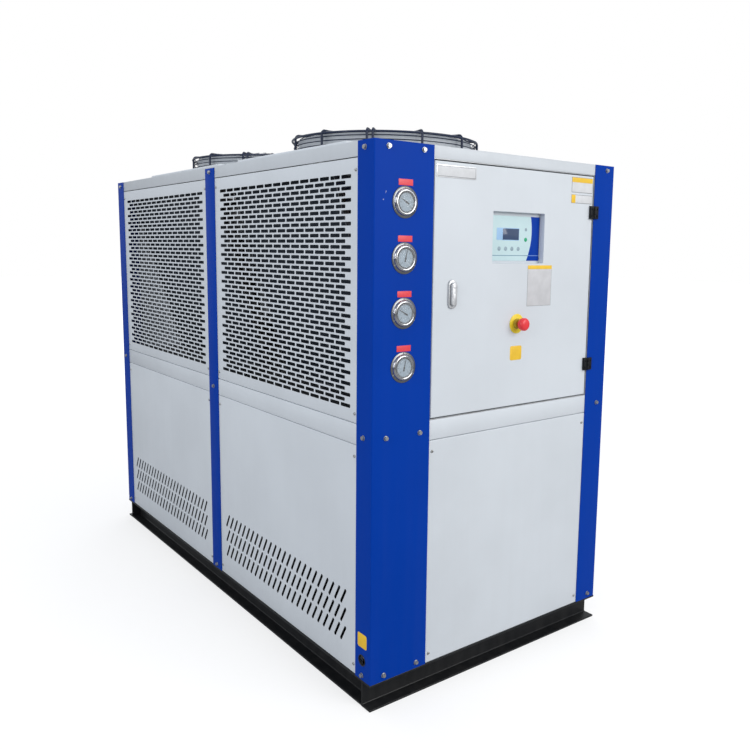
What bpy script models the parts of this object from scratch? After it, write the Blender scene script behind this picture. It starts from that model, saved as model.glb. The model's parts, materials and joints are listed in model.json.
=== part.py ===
"""Air-cooled water chiller, a free-standing cabinet on a channel base.

Front faces -Y, up is +Z, the ground is z = 0. Lengths are in metres.
The cabinet is a sheet-steel frame of posts and rails that carries pan-shaped
panels, perforated grilles, two leaning pairs of condenser coils and two roof fans.
"""
import math

import bmesh
import bpy
from mathutils import Matrix, Vector

# Clearances
GAP = 0.0003
SEAM = 0.002
DOOR_GAP = 0.005
BORE_CLEARANCE = 0.0005

# Cabinet
WIDTH = 0.980
LENGTH = 2.025
POST_HEIGHT = 1.500
BASE_HEIGHT = 0.080

# Channels of the base frame
CHANNEL_FLANGE = 0.043
CHANNEL_WEB = 0.005
CHANNEL_LIP = 0.006

# Posts
POST_SHEET = 0.002
POST_SIDE_FACE = 0.075
FRONT_LEFT_FACE = 0.200
FRONT_RIGHT_FACE = 0.0965
REAR_FACE = 0.097
MIDDLE_POST_FACE = 0.078
MIDDLE_POST_DROP = 0.005
CABLE_HOLE_RADIUS = 0.016
CABLE_HOLE_IN = 0.041
CABLE_HOLE_UP = 0.060

# Rails and roof edge, as heights above the base frame
RAIL_LOW = 0.679
RAIL_TOP = 0.739
RAIL_DEPTH = 0.030
CORNICE = 0.041
FRONT_CORNICE = 0.035
ROOF_SHEET = 0.002

# Panels
PANEL_SHEET = 0.0015
PANEL_FOLD = 0.018
POST_LAP = 0.012
DECK_SHEET = 0.002
CUT_OVERSHOOT = 0.010

# Air slots of the upper side panels, in staggered rows
SLOT_HEIGHT = 0.0384
SLOT_ROW_PITCH = 0.0594
SLOT_WEB = 0.0260
SLOT_COLUMN_PITCH = 0.1694
SLOT_FIELD_TOP = 0.043
SLOT_FIELD_LOW = 0.030
SLOT_FIELD_SIDE = 0.045

# Slanted vents of the lower side panels
VENT_ROWS = 3
VENT_WIDTH = 0.014
VENT_LENGTH = 0.054
VENT_SLANT = math.radians(25.2)
VENT_ROW_PITCH = 0.0569
VENT_COLUMN_PITCH = 0.0966
VENT_FIELD_LOW = 0.101
VENT_FIELD_SIDE = 0.068

# Control door and what it carries, measured from the cabinet's front left corner and the base frame
DOOR_SHEET = 0.0015
DOOR_DEPTH = 0.020
BOX_SHEET = 0.002
BOX_DEPTH = 0.220
CONTROL_X = 0.5415
CONTROL_Z = 1.257
CONTROL_WIDTH = 0.221
CONTROL_HEIGHT = 0.152
CONTROL_RECESS = 0.021
CONTROL_RIM = 0.006
CONTROL_DEPTH = 0.028

# Door hinges
HINGE_HEIGHTS = (1.346, 0.847)
HINGE_LENGTH = 0.041
HINGE_LEAF_WIDTH = 0.019
HINGE_BARREL_RADIUS = 0.0045
HINGE_PIN_RADIUS = 0.0018
HINGE_AXIS_OUT = 0.0085
HINGE_SLACK = 0.0003
HINGE_PIN_IN = 0.002

# Door latch
LATCH_X = 0.275
LATCH_Z = 1.0945
LATCH_WIDTH = 0.030
LATCH_LENGTH = 0.083
LATCH_PLATE = 0.005
LATCH_LEVER_WIDTH = 0.020
LATCH_LEVER_LENGTH = 0.068
LATCH_LEVER_THICKNESS = 0.008
LATCH_PIN_RADIUS = 0.0045
LATCH_PIN_IN = 0.003
LATCH_PIN_LENGTH = 0.0065
LATCH_BORE_FLOOR = 0.001

# Emergency stop
STOP_X = 0.541
STOP_Z = 0.998
STOP_PLATE_RADIUS = 0.030
STOP_PLATE = 0.002
STOP_COLLAR_RADIUS = 0.015
STOP_COLLAR = 0.010
STOP_STEM_RADIUS = 0.0055
STOP_HEAD_RADIUS = 0.0195
STOP_HEAD = 0.021
STOP_REACH = 0.042
STOP_TRAVEL = 0.004
STOP_BORE_FLOOR = 0.002

# Pressure gauges
GAUGE_X = 0.101
GAUGE_TOP_Z = 1.343
GAUGE_PITCH = 0.148
GAUGE_COUNT = 4
GAUGE_FLANGE_RADIUS = 0.0425
GAUGE_FLANGE = 0.0025
GAUGE_BEZEL_RADIUS = 0.034
GAUGE_BEZEL_REACH = 0.009
GAUGE_BEZEL_WALL = 0.0075
GAUGE_DIAL_DEPTH = 0.005

# Fans, with centres measured from the middle of the cabinet
FRONT_FAN_SETBACK = 0.3905
REAR_FAN_SETBACK = 0.4735
FAN_DECK_WIDTH = 0.800
FAN_DECK_LENGTH = 0.710
FAN_DECK_HEIGHT = 0.027
FAN_DECK_RIM = 0.055
FAN_COLLAR_HEIGHT = 0.045
FAN_COLLAR_WALL = 0.004
FAN_TIP_GAP = 0.008
FAN_BLADE_ROOT = 0.004
FAN_BLADE_DROP = 0.097
FAN_BLADES = 5
FAN_HUB_RADIUS = 0.066
FAN_HUB_HEIGHT = 0.135
FAN_BLADE_SHEET = 0.003
FAN_BLADE_SWEEP = math.radians(52)
FAN_BLADE_PITCH = 0.055
FAN_BLADE_LAG = 0.35
FAN_TURN = math.radians(-12)

# Fan guards
GUARD_OUTSIDE_MOUTH = 0.025
GUARD_HEIGHT = 0.066
GUARD_RISE = 0.034
GUARD_WIRE = 0.0035
GUARD_LEGS = 12
GUARD_WELD = 0.001
GUARD_SIDE_RING_HEIGHTS = (0.026,)
GUARD_TOP_RINGS = 3
GUARD_TOP_RING_PITCH = 0.085
GUARD_PLATE_RADIUS = 0.072
GUARD_PLATE = 0.005
GUARD_PLATE_UNDER = 0.001
GUARD_LEG_END = 0.0576
GUARD_SHOULDER = 0.010

# Condenser coils
COIL_LEAN = math.radians(17.5)
COIL_THICKNESS = 0.050
COIL_INSET = 0.040
COIL_TOP_DROP = 0.060
COIL_BEHIND_BOX = 0.0327
FRONT_COIL_TO_MIDDLE = 0.0975
REAR_COIL_TO_MIDDLE = 0.0625
COIL_TO_REAR = 0.080

SIDES_RING = 24
SIDES_MOUTH = 24
SIDES_ROUND = 18
SIDES_SMALL = 10

# The stop button reaches out in front, and the part's box is centred on the origin
SKIN = POST_SHEET + GAP
FRONT = (STOP_REACH - SKIN - LENGTH) / 2
REAR = FRONT + LENGTH
LEFT = -WIDTH / 2
RIGHT = WIDTH / 2
ROOF = BASE_HEIGHT + POST_HEIGHT
CORNICE_LOW = POST_HEIGHT - CORNICE
FRONT_CORNICE_LOW = POST_HEIGHT - FRONT_CORNICE
FACE = FRONT + SKIN
MIDDLE = (FRONT + REAR) / 2
FAN_CENTRES = (MIDDLE - FRONT_FAN_SETBACK, MIDDLE + REAR_FAN_SETBACK)
FAN_ORIFICE_RADIUS = min(FAN_DECK_WIDTH, FAN_DECK_LENGTH) / 2 - FAN_DECK_RIM
GUARD_RADIUS = FAN_ORIFICE_RADIUS + GUARD_OUTSIDE_MOUTH

BLUE = ("blue_enamel", (0.004, 0.035, 0.30), 0.0, 0.35)
WHITE = ("white_enamel", (0.62, 0.67, 0.72), 0.0, 0.40)
BLACK = ("black_paint", (0.010, 0.010, 0.012), 0.0, 0.5)
STEEL = ("galvanised_steel", (0.45, 0.46, 0.47), 0.9, 0.4)
FINS = ("coil_fins", (0.16, 0.17, 0.18), 0.8, 0.5)
WIRE = ("guard_wire", (0.01, 0.03, 0.10), 0.0, 0.35)
CHROME = ("chrome", (0.75, 0.75, 0.76), 1.0, 0.12)
RED = ("red_plastic", (0.65, 0.02, 0.02), 0.0, 0.35)
YELLOW = ("yellow_plastic", (0.85, 0.55, 0.02), 0.0, 0.45)
PANEL_FILM = ("control_film", (0.35, 0.62, 0.72), 0.0, 0.3)
ROTOR = ("fan_black", (0.015, 0.015, 0.017), 0.2, 0.5)


def clear_scene():
    """Remove every object that the new file starts with."""
    for thing in list(bpy.data.objects):
        bpy.data.objects.remove(thing, do_unlink=True)


clear_scene()
PARTS = bpy.data.collections.new("water_chiller")
CUTTERS = bpy.data.collections.new("cutters")
bpy.context.scene.collection.children.link(PARTS)
bpy.context.scene.collection.children.link(CUTTERS)


def finish_material(spec):
    """Return the Principled material of a (name, colour, metallic, roughness) finish."""
    name, colour, metallic, roughness = spec
    material = bpy.data.materials.get(name)
    if material is None:
        material = bpy.data.materials.new(name)
        material.use_nodes = True
        shader = material.node_tree.nodes["Principled BSDF"]
        shader.inputs["Base Color"].default_value = (*colour, 1.0)
        shader.inputs["Metallic"].default_value = metallic
        shader.inputs["Roughness"].default_value = roughness
        material.diffuse_color = (*colour, 1.0)
    return material


def file_object(thing, name, finish=None):
    """Name an object and put it among the parts, or among the cutters if it has no finish."""
    for collection in list(thing.users_collection):
        collection.objects.unlink(thing)
    thing.name = name
    if finish is None:
        CUTTERS.objects.link(thing)
        thing.hide_render = True
        thing.display_type = "WIRE"
    else:
        PARTS.objects.link(thing)
        thing.data.materials.clear()
        thing.data.materials.append(finish_material(finish))
    return thing


def box(name, low, high, finish=None):
    """Make a box between two corners."""
    low = Vector(low)
    high = Vector(high)
    bpy.ops.mesh.primitive_cube_add(size=1, location=(low + high) / 2)
    thing = bpy.context.object
    thing.data.transform(Matrix.Diagonal((*(high - low), 1.0)))
    return file_object(thing, name, finish)


def cylinder(name, radius, start, axis, length, finish=None, sides=SIDES_ROUND):
    """Make a cylinder that runs from a start point along an axis."""
    axis = Vector(axis).normalized()
    turn = Vector((0, 0, 1)).rotation_difference(axis)
    bpy.ops.mesh.primitive_cylinder_add(
        vertices=sides, radius=radius, depth=length,
        location=Vector(start) + axis * length / 2, rotation=turn.to_euler(),
    )
    thing = bpy.context.object
    if finish is not None:
        thing.data.shade_smooth()
        thing.data.set_sharp_from_angle(angle=math.radians(40))
    return file_object(thing, name, finish)


def combine(target, other, operation):
    """Add a Boolean modifier that takes its other solid from among the cutters."""
    modifier = target.modifiers.new(other.name, "BOOLEAN")
    modifier.operation = operation
    modifier.solver = "EXACT"
    modifier.object = other
    return modifier


def cut(target, *others):
    """Cut solids out of a target."""
    for other in others:
        combine(target, other, "DIFFERENCE")
    return target


def fuse(target, *others):
    """Join solids to a target."""
    for other in others:
        combine(target, other, "UNION")
    return target


def turned(name, profile, place, finish, sides=SIDES_ROUND, turn=None):
    """Turn a closed profile of (radius, height) points, listed down its outer side, about its own Z."""
    mesh = bpy.data.meshes.new(name)
    points = [(radius, 0.0, height) for radius, height in profile]
    edges = [(i, i + 1) for i in range(len(points) - 1)]
    mesh.from_pydata(points, edges, [])
    thing = bpy.data.objects.new(name, mesh)
    bpy.context.scene.collection.objects.link(thing)
    screw = thing.modifiers.new("turn", "SCREW")
    screw.steps = sides
    screw.render_steps = sides
    screw.use_merge_vertices = True
    screw.merge_threshold = 0.00001
    thing.location = place
    if turn is not None:
        thing.rotation_euler = turn
    return file_object(thing, name, finish)


def capsule(name, width, length, thickness, place, finish=None, arc_steps=6):
    """Make an upright slab with round ends, flat side to the front, centred on a place."""
    radius = width / 2
    reach = length / 2 - radius
    curve = bpy.data.curves.new(name, "CURVE")
    curve.dimensions = "2D"
    curve.fill_mode = "BOTH"
    curve.extrude = thickness / 2
    points = []
    for side in (1, -1):
        for step in range(arc_steps + 1):
            angle = math.pi * step / arc_steps
            points.append((side * radius * math.cos(angle), side * (reach + radius * math.sin(angle))))
    spline = curve.splines.new("POLY")
    spline.points.add(len(points) - 1)
    for point, (x, y) in zip(spline.points, points):
        point.co = (x, y, 0, 1)
    spline.use_cyclic_u = True
    thing = bpy.data.objects.new(name, curve)
    bpy.context.scene.collection.objects.link(thing)
    thing.rotation_euler = (math.radians(90), 0, 0)
    thing.location = place
    return file_object(as_mesh(thing), name, finish)


def as_mesh(thing):
    """Replace a curve object by a mesh object with welded caps."""
    bpy.context.view_layer.update()
    evaluated = thing.evaluated_get(bpy.context.evaluated_depsgraph_get())
    mesh = bpy.data.meshes.new_from_object(evaluated)
    work = bmesh.new()
    work.from_mesh(mesh)
    bmesh.ops.remove_doubles(work, verts=work.verts, dist=0.00001)
    work.to_mesh(mesh)
    work.free()
    solid = bpy.data.objects.new(thing.name + "_solid", mesh)
    solid.matrix_world = thing.matrix_world
    bpy.context.scene.collection.objects.link(solid)
    bpy.data.objects.remove(thing, do_unlink=True)
    return solid


def wire(name, points, radius, closed=False):
    """Make a square-sided wire through points, as a mesh object."""
    curve = bpy.data.curves.new(name, "CURVE")
    curve.dimensions = "3D"
    curve.bevel_depth = radius
    curve.bevel_resolution = 0
    curve.use_fill_caps = True
    spline = curve.splines.new("POLY")
    spline.points.add(len(points) - 1)
    for point, place in zip(spline.points, points):
        point.co = (*place, 1)
    spline.use_cyclic_u = closed
    thing = bpy.data.objects.new(name, curve)
    bpy.context.scene.collection.objects.link(thing)
    return as_mesh(thing)


def at(x, out, up):
    """A point on the front, from the cabinet's left edge, out of the door's face and above the base."""
    return Vector((LEFT + x, FACE - out, BASE_HEIGHT + up))


def mirrored_span(side, inner, outer):
    """The x range between two insets from the left side, or from the right side for side = 1."""
    if side < 0:
        return LEFT + outer, LEFT + inner
    return RIGHT - inner, RIGHT - outer


def empty(name, place):
    """Make an empty that moving pieces hang from."""
    thing = bpy.data.objects.new(name, None)
    thing.location = place
    thing.empty_display_size = 0.05
    PARTS.objects.link(thing)
    return thing


def hang(thing, carrier):
    """Parent a piece to an empty and keep it where it is."""
    thing.parent = carrier
    thing.location = thing.location - carrier_place(carrier)
    return thing


def carrier_place(carrier):
    """World place of an unturned empty, through its own parents."""
    place = carrier.location.copy()
    while carrier.parent is not None:
        carrier = carrier.parent
        place += carrier.location
    return place


def build_base():
    """Weld the base from channels that open outward, the end ones full width, with a floor sheet on top."""
    frame = box("base_frame", (LEFT, FRONT, 0), (RIGHT, REAR, BASE_HEIGHT), BLACK)
    inner = CHANNEL_FLANGE
    past = CUT_OVERSHOOT
    hole = box(
        "base_hole", (LEFT + inner, FRONT + inner, -past), (RIGHT - inner, REAR - inner, BASE_HEIGHT + past),
    )
    groove = CHANNEL_FLANGE - CHANNEL_WEB
    low = CHANNEL_LIP
    high = BASE_HEIGHT - CHANNEL_LIP
    front = box("base_front_groove", (LEFT - past, FRONT - past, low), (RIGHT + past, FRONT + groove, high))
    rear = box("base_rear_groove", (LEFT - past, REAR - groove, low), (RIGHT + past, REAR + past, high))
    left = box("base_left_groove", (LEFT - past, FRONT + inner, low), (LEFT + groove, REAR - inner, high))
    right = box("base_right_groove", (RIGHT - groove, FRONT + inner, low), (RIGHT + past, REAR - inner, high))
    cut(frame, hole, front, rear, left, right)
    inset = SKIN + PANEL_FOLD + DOOR_GAP
    box(
        "floor_sheet",
        (LEFT + inset, FRONT + inset, BASE_HEIGHT + GAP),
        (RIGHT - inset, REAR - inset, BASE_HEIGHT + GAP + DECK_SHEET),
        BLACK,
    )


def corner_post(name, side, end, face):
    """Bend a corner post: a face across the end and a flange along the side, open inside."""
    low = BASE_HEIGHT + GAP
    x0 = LEFT if side < 0 else RIGHT
    y0 = FRONT if end < 0 else REAR
    x1 = x0 - side * face
    y1 = y0 - end * POST_SIDE_FACE
    post = box(name, (min(x0, x1), min(y0, y1), low), (max(x0, x1), max(y0, y1), ROOF), BLUE)
    inner_x = x0 - side * POST_SHEET
    inner_y = y0 - end * POST_SHEET
    far_x = x1 - side * CUT_OVERSHOOT
    far_y = y1 - end * CUT_OVERSHOOT
    hollow = box(
        name + "_hollow",
        (min(inner_x, far_x), min(inner_y, far_y), low - CUT_OVERSHOOT),
        (max(inner_x, far_x), max(inner_y, far_y), ROOF + CUT_OVERSHOOT),
    )
    return cut(post, hollow)


def build_posts():
    """Stand the four corner posts and the two flat middle posts on the base."""
    front_left = corner_post("front_left_post", -1, -1, FRONT_LEFT_FACE)
    hole = cylinder(
        "cable_hole", CABLE_HOLE_RADIUS,
        (LEFT - CUT_OVERSHOOT, FRONT + CABLE_HOLE_IN, BASE_HEIGHT + CABLE_HOLE_UP), (1, 0, 0),
        2 * CUT_OVERSHOOT, sides=16,
    )
    cut(front_left, hole)
    corner_post("front_right_post", 1, -1, FRONT_RIGHT_FACE)
    corner_post("rear_left_post", -1, 1, REAR_FACE)
    corner_post("rear_right_post", 1, 1, REAR_FACE)
    for side, name in ((-1, "left_middle_post"), (1, "right_middle_post")):
        x0, x1 = mirrored_span(side, 0.0, POST_SHEET)
        box(
            name,
            (min(x0, x1), MIDDLE - MIDDLE_POST_FACE / 2, BASE_HEIGHT + GAP),
            (max(x0, x1), MIDDLE + MIDDLE_POST_FACE / 2, ROOF - MIDDLE_POST_DROP),
            BLUE,
        )


def build_rails():
    """Run the rail round the cabinet between the lower and the upper panels."""
    low = BASE_HEIGHT + RAIL_LOW + SEAM / 2
    high = BASE_HEIGHT + RAIL_TOP - SEAM / 2
    inset = SKIN
    rail = box("middle_rail", (LEFT + inset, FRONT + inset, low), (RIGHT - inset, REAR - inset, high), WHITE)
    inner = inset + RAIL_DEPTH
    past = CUT_OVERSHOOT
    hole = box(
        "rail_hole", (LEFT + inner, FRONT + inner, low - past), (RIGHT - inner, REAR - inner, high + past),
    )
    cut(rail, hole)
    edge = SKIN + PANEL_FOLD + DOOR_GAP
    front = FACE + BOX_DEPTH + SEAM
    foot = high + GAP
    box("coil_deck", (LEFT + edge, front, foot), (RIGHT - edge, REAR - edge, foot + DECK_SHEET), STEEL)


def pan(name, low, high, inward, finish=WHITE, sheet=PANEL_SHEET):
    """Fold a panel with its four edges turned inward; inward is the axis and sign of its open side."""
    low = Vector(low)
    high = Vector(high)
    thing = box(name, low, high, finish)
    axis, sign = inward
    hollow_low = low + Vector((sheet, sheet, sheet))
    hollow_high = high - Vector((sheet, sheet, sheet))
    if sign > 0:
        hollow_high[axis] = high[axis] + CUT_OVERSHOOT
    else:
        hollow_low[axis] = low[axis] - CUT_OVERSHOOT
    return cut(thing, box(name + "_hollow", hollow_low, hollow_high))


def side_bays():
    """The y ranges of the two bays between the posts, with the laps behind the posts."""
    half = MIDDLE_POST_FACE / 2 - POST_LAP
    near = (FRONT + POST_SIDE_FACE - POST_LAP, MIDDLE - half)
    far = (MIDDLE + half, REAR - POST_SIDE_FACE + POST_LAP)
    return {"front": near, "rear": far}


def repeat(thing, count, step):
    """Array a cutter by a constant step."""
    array = thing.modifiers.new("repeat", "ARRAY")
    array.count = count
    array.use_relative_offset = False
    array.use_constant_offset = True
    array.constant_offset_displace = step
    return thing


def slot_cutters(name, x, bay):
    """Cutters for the staggered air slots: full rows, and between them rows of one slot fewer."""
    middle = sum(bay) / 2
    top = BASE_HEIGHT + CORNICE_LOW - SLOT_FIELD_TOP
    slot = SLOT_COLUMN_PITCH - SLOT_WEB
    field = bay[1] - bay[0] - 2 * SLOT_FIELD_SIDE
    full_columns = int((field + SLOT_WEB) / SLOT_COLUMN_PITCH)
    field = CORNICE_LOW - RAIL_TOP - SLOT_FIELD_TOP - SLOT_FIELD_LOW
    all_rows = int((field + SLOT_ROW_PITCH - SLOT_HEIGHT) / SLOT_ROW_PITCH)
    cutters = []
    for stagger in (0, 1):
        columns = full_columns - stagger
        rows = (all_rows + 1 - stagger) // 2
        start = middle - (columns - 1) * SLOT_COLUMN_PITCH / 2 - slot / 2
        high = top - stagger * SLOT_ROW_PITCH
        cutter = box(
            f"{name}_slots_{stagger}",
            (x - PANEL_FOLD / 2, start, high - SLOT_HEIGHT), (x + PANEL_FOLD / 2, start + slot, high),
        )
        repeat(cutter, columns, (0, SLOT_COLUMN_PITCH, 0))
        repeat(cutter, rows, (0, 0, -2 * SLOT_ROW_PITCH))
        cutters.append(cutter)
    return cutters


def vent_cutter(name, x, bay):
    """Cutter for the slanted vents near the floor, their lower ends leaning to the rear."""
    middle = sum(bay) / 2
    columns = int((bay[1] - bay[0] - 2 * VENT_FIELD_SIDE) / VENT_COLUMN_PITCH) + 1
    start = middle - (columns - 1) * VENT_COLUMN_PITCH / 2
    low = BASE_HEIGHT + VENT_FIELD_LOW
    cutter = box(
        name + "_vents",
        (x - PANEL_FOLD / 2, start - VENT_WIDTH / 2, low - VENT_LENGTH / 2),
        (x + PANEL_FOLD / 2, start + VENT_WIDTH / 2, low + VENT_LENGTH / 2),
    )
    cutter.data.transform(Matrix.Rotation(VENT_SLANT, 4, "X"))
    repeat(cutter, columns, (0, VENT_COLUMN_PITCH, 0))
    repeat(cutter, VENT_ROWS, (0, 0, VENT_ROW_PITCH))
    return cutter


def build_side_panels():
    """Hang the grilles and the vented lower panels, one pair to each bay of each side."""
    upper = (BASE_HEIGHT + RAIL_TOP + SEAM / 2, BASE_HEIGHT + CORNICE_LOW - SEAM / 2)
    lower = (BASE_HEIGHT + GAP, BASE_HEIGHT + RAIL_LOW - SEAM / 2)
    for side, side_name in ((-1, "left"), (1, "right")):
        x0, x1 = sorted(mirrored_span(side, SKIN, SKIN + PANEL_FOLD))
        inward = (0, 1) if side < 0 else (0, -1)
        outer = x0 if side < 0 else x1
        for bay_name, bay in side_bays().items():
            grille = pan(
                f"{side_name}_{bay_name}_grille", (x0, bay[0], upper[0]), (x1, bay[1], upper[1]), inward,
            )
            cut(grille, *slot_cutters(grille.name, outer, bay))
            vented = pan(
                f"{side_name}_{bay_name}_lower_panel", (x0, bay[0], lower[0]), (x1, bay[1], lower[1]), inward,
            )
            cut(vented, vent_cutter(vented.name, outer, bay))


def build_end_panels():
    """Close the front below the door, and the rear, with plain folded panels."""
    lower = (BASE_HEIGHT + GAP, BASE_HEIGHT + RAIL_LOW - SEAM / 2)
    upper = (BASE_HEIGHT + RAIL_TOP + SEAM / 2, BASE_HEIGHT + CORNICE_LOW - SEAM / 2)
    left = LEFT + FRONT_LEFT_FACE - POST_LAP
    right = RIGHT - FRONT_RIGHT_FACE + POST_LAP
    pan("front_lower_panel", (left, FACE, lower[0]), (right, FACE + PANEL_FOLD, lower[1]), (1, 1))
    left = LEFT + REAR_FACE - POST_LAP
    right = RIGHT - REAR_FACE + POST_LAP
    back = REAR - SKIN
    pan("rear_lower_panel", (left, back - PANEL_FOLD, lower[0]), (right, back, lower[1]), (1, -1))
    pan("rear_upper_panel", (left, back - PANEL_FOLD, upper[0]), (right, back, upper[1]), (1, -1))


def build_roof():
    """Cap the cabinet with a folded roof, shorter over the door, and a collared fan deck over each opening."""
    low = BASE_HEIGHT + CORNICE_LOW + SEAM / 2
    corners = ((LEFT + SKIN, FRONT + SKIN, low), (RIGHT - SKIN, REAR - SKIN, ROOF))
    roof = pan("roof", corners[0], corners[1], (2, -1), sheet=ROOF_SHEET)
    past = CUT_OVERSHOOT
    notch_low = (LEFT + SKIN + ROOF_SHEET, FRONT + SKIN - past, low - past)
    notch_high = (
        RIGHT - SKIN - ROOF_SHEET, FRONT + SKIN + ROOF_SHEET + past, BASE_HEIGHT + FRONT_CORNICE_LOW + SEAM / 2,
    )
    cut(roof, box("roof_notch", notch_low, notch_high))
    for name, y in zip(("front", "rear"), FAN_CENTRES):
        hole = cylinder(
            f"{name}_roof_hole", FAN_ORIFICE_RADIUS, (0, y, ROOF - past), (0, 0, 1), 2 * past, sides=SIDES_MOUTH,
        )
        cut(roof, hole)
        low_corner = (-FAN_DECK_WIDTH / 2, y - FAN_DECK_LENGTH / 2, ROOF + GAP)
        high_corner = (FAN_DECK_WIDTH / 2, y + FAN_DECK_LENGTH / 2, ROOF + GAP + FAN_DECK_HEIGHT)
        deck = pan(f"{name}_fan_deck", low_corner, high_corner, (2, -1), sheet=ROOF_SHEET)
        plate_low = high_corner[2] - ROOF_SHEET
        tall = ROOF_SHEET + FAN_COLLAR_HEIGHT
        collar = cylinder(
            f"{name}_collar", FAN_ORIFICE_RADIUS + FAN_COLLAR_WALL, (0, y, plate_low), (0, 0, 1), tall,
            sides=SIDES_MOUTH,
        )
        mouth = cylinder(
            f"{name}_deck_hole", FAN_ORIFICE_RADIUS, (0, y, plate_low - past), (0, 0, 1), tall + 2 * past,
            sides=SIDES_MOUTH,
        )
        fuse(deck, collar)
        cut(deck, mouth)


def ring_points(centre, radius, sides=SIDES_RING):
    """Points of a flat ring round a circle, turned half a side so that the legs cross mid-side."""
    turn = math.pi / sides
    radius = radius / math.cos(turn)
    return [
        (
            centre[0] + radius * math.cos(turn + 2 * math.pi * i / sides),
            centre[1] + radius * math.sin(turn + 2 * math.pi * i / sides),
            centre[2],
        )
        for i in range(sides)
    ]


def build_guard(name, y):
    """Weld a wire guard: side rings, top rings that rise to a centre plate, and legs over them."""
    foot = ROOF + GAP + FAN_DECK_HEIGHT + GAP
    top = foot + GUARD_HEIGHT
    slope = GUARD_RISE / (GUARD_RADIUS - GUARD_PLATE_RADIUS)
    under = 2 * GUARD_WIRE - GUARD_WELD
    wires = []
    for height in GUARD_SIDE_RING_HEIGHTS:
        wires.append(wire("ring", ring_points((0, y, foot + height), GUARD_RADIUS - under), GUARD_WIRE, True))
    for i in range(GUARD_TOP_RINGS):
        radius = GUARD_RADIUS - i * GUARD_TOP_RING_PITCH
        height = top + (GUARD_RADIUS - radius) * slope - under
        ring = min(radius, GUARD_RADIUS - under)
        wires.append(wire("ring", ring_points((0, y, height), ring), GUARD_WIRE, True))
    leg_radius = GUARD_RADIUS
    inner = GUARD_LEG_END
    for i in range(GUARD_LEGS):
        angle = 2 * math.pi * (i + 0.5) / GUARD_LEGS
        across = Vector((math.cos(angle), math.sin(angle), 0))
        centre = Vector((0, y, 0))
        lift = Vector((0, 0, 1))
        points = [
            centre + across * leg_radius + lift * foot,
            centre + across * leg_radius + lift * (top - GUARD_SHOULDER),
            centre + across * (leg_radius - GUARD_SHOULDER) + lift * (top + GUARD_SHOULDER * slope),
            centre + across * inner + lift * (top + (GUARD_RADIUS - inner) * slope),
        ]
        wires.append(wire("leg", points, GUARD_WIRE))
    work = bmesh.new()
    for thing in wires:
        mesh = thing.data
        mesh.transform(thing.matrix_world)
        work.from_mesh(mesh)
    joined = bpy.data.meshes.new(name + "_wires")
    work.to_mesh(joined)
    work.free()
    for thing in wires:
        bpy.data.objects.remove(thing, do_unlink=True)
    bundle = bpy.data.objects.new(name + "_wires", joined)
    bpy.context.scene.collection.objects.link(bundle)
    file_object(bundle, name + "_wires")
    plate_low = top + GUARD_RISE - GUARD_WIRE - GUARD_PLATE_UNDER
    plate = cylinder(name, GUARD_PLATE_RADIUS, (0, y, plate_low), (0, 0, 1), GUARD_PLATE, WIRE)
    modifier = combine(plate, bundle, "UNION")
    modifier.use_self = True
    return plate_low


def blade_mesh(name, tip):
    """A fan blade sheet: swept back and pitched, both easing along its radius."""
    bpy.ops.mesh.primitive_grid_add(x_subdivisions=3, y_subdivisions=3, size=1)
    thing = bpy.context.object
    root = FAN_HUB_RADIUS - FAN_BLADE_ROOT
    for vertex in thing.data.vertices:
        along = vertex.co.x + 0.5
        across = vertex.co.y
        radius = root + (tip - root) * along
        sweep = FAN_BLADE_SWEEP * (0.75 + 0.25 * along)
        angle = across * sweep + FAN_BLADE_LAG * along * along
        height = -across * FAN_BLADE_PITCH * (1 - 0.25 * along)
        vertex.co = (radius * math.cos(angle), radius * math.sin(angle), height)
    return thing


def build_rotor(name, y, plate_low):
    """Make a fan: an external-rotor motor can under the guard's plate, with its blades."""
    top = plate_low - GAP
    hub = cylinder(name, FAN_HUB_RADIUS, (0, y, top - FAN_HUB_HEIGHT), (0, 0, 1), FAN_HUB_HEIGHT, ROTOR)
    middle = top - FAN_BLADE_DROP
    tip = FAN_ORIFICE_RADIUS - FAN_TIP_GAP
    for i in range(FAN_BLADES):
        blade = blade_mesh(f"{name}_blade_{i}", tip)
        sheet = blade.modifiers.new("thickness", "SOLIDIFY")
        sheet.thickness = FAN_BLADE_SHEET
        sheet.offset = 0
        blade.modifiers.new("facets", "TRIANGULATE")
        blade.location = (0, y, middle)
        blade.rotation_euler = (0, 0, FAN_TURN + 2 * math.pi * i / FAN_BLADES)
        fuse(hub, file_object(blade, blade.name))


def build_fans():
    """Set a guard and a fan over each deck opening."""
    for name, y in zip(("front", "rear"), FAN_CENTRES):
        plate_low = build_guard(f"{name}_fan_guard", y)
        build_rotor(f"{name}_fan", y, plate_low)


def build_coils():
    """Lean a pair of coil slabs in each bay, wide apart at the top, standing on the deck."""
    deck_top = BASE_HEIGHT + RAIL_TOP - SEAM / 2 + GAP + DECK_SHEET
    top = ROOF - COIL_TOP_DROP
    rise = top - deck_top - GAP
    length = (rise - COIL_THICKNESS * math.sin(COIL_LEAN)) / math.cos(COIL_LEAN)
    front_span = (FACE + BOX_DEPTH + COIL_BEHIND_BOX, MIDDLE - FRONT_COIL_TO_MIDDLE)
    rear_span = (MIDDLE + REAR_COIL_TO_MIDDLE, REAR - COIL_TO_REAR)
    for bay, span in (("front", front_span), ("rear", rear_span)):
        for side, side_name in ((-1, "left"), (1, "right")):
            slab = box(
                f"{bay}_{side_name}_coil",
                (-COIL_THICKNESS / 2, span[0], -length / 2),
                (COIL_THICKNESS / 2, span[1], length / 2),
                FINS,
            )
            slab.rotation_euler = (0, side * COIL_LEAN, 0)
            half_x = (COIL_THICKNESS * math.cos(COIL_LEAN) + length * math.sin(COIL_LEAN)) / 2
            x = WIDTH / 2 - COIL_INSET - half_x
            slab.location = (side * x, slab.location.y, deck_top + GAP + rise / 2)


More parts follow.
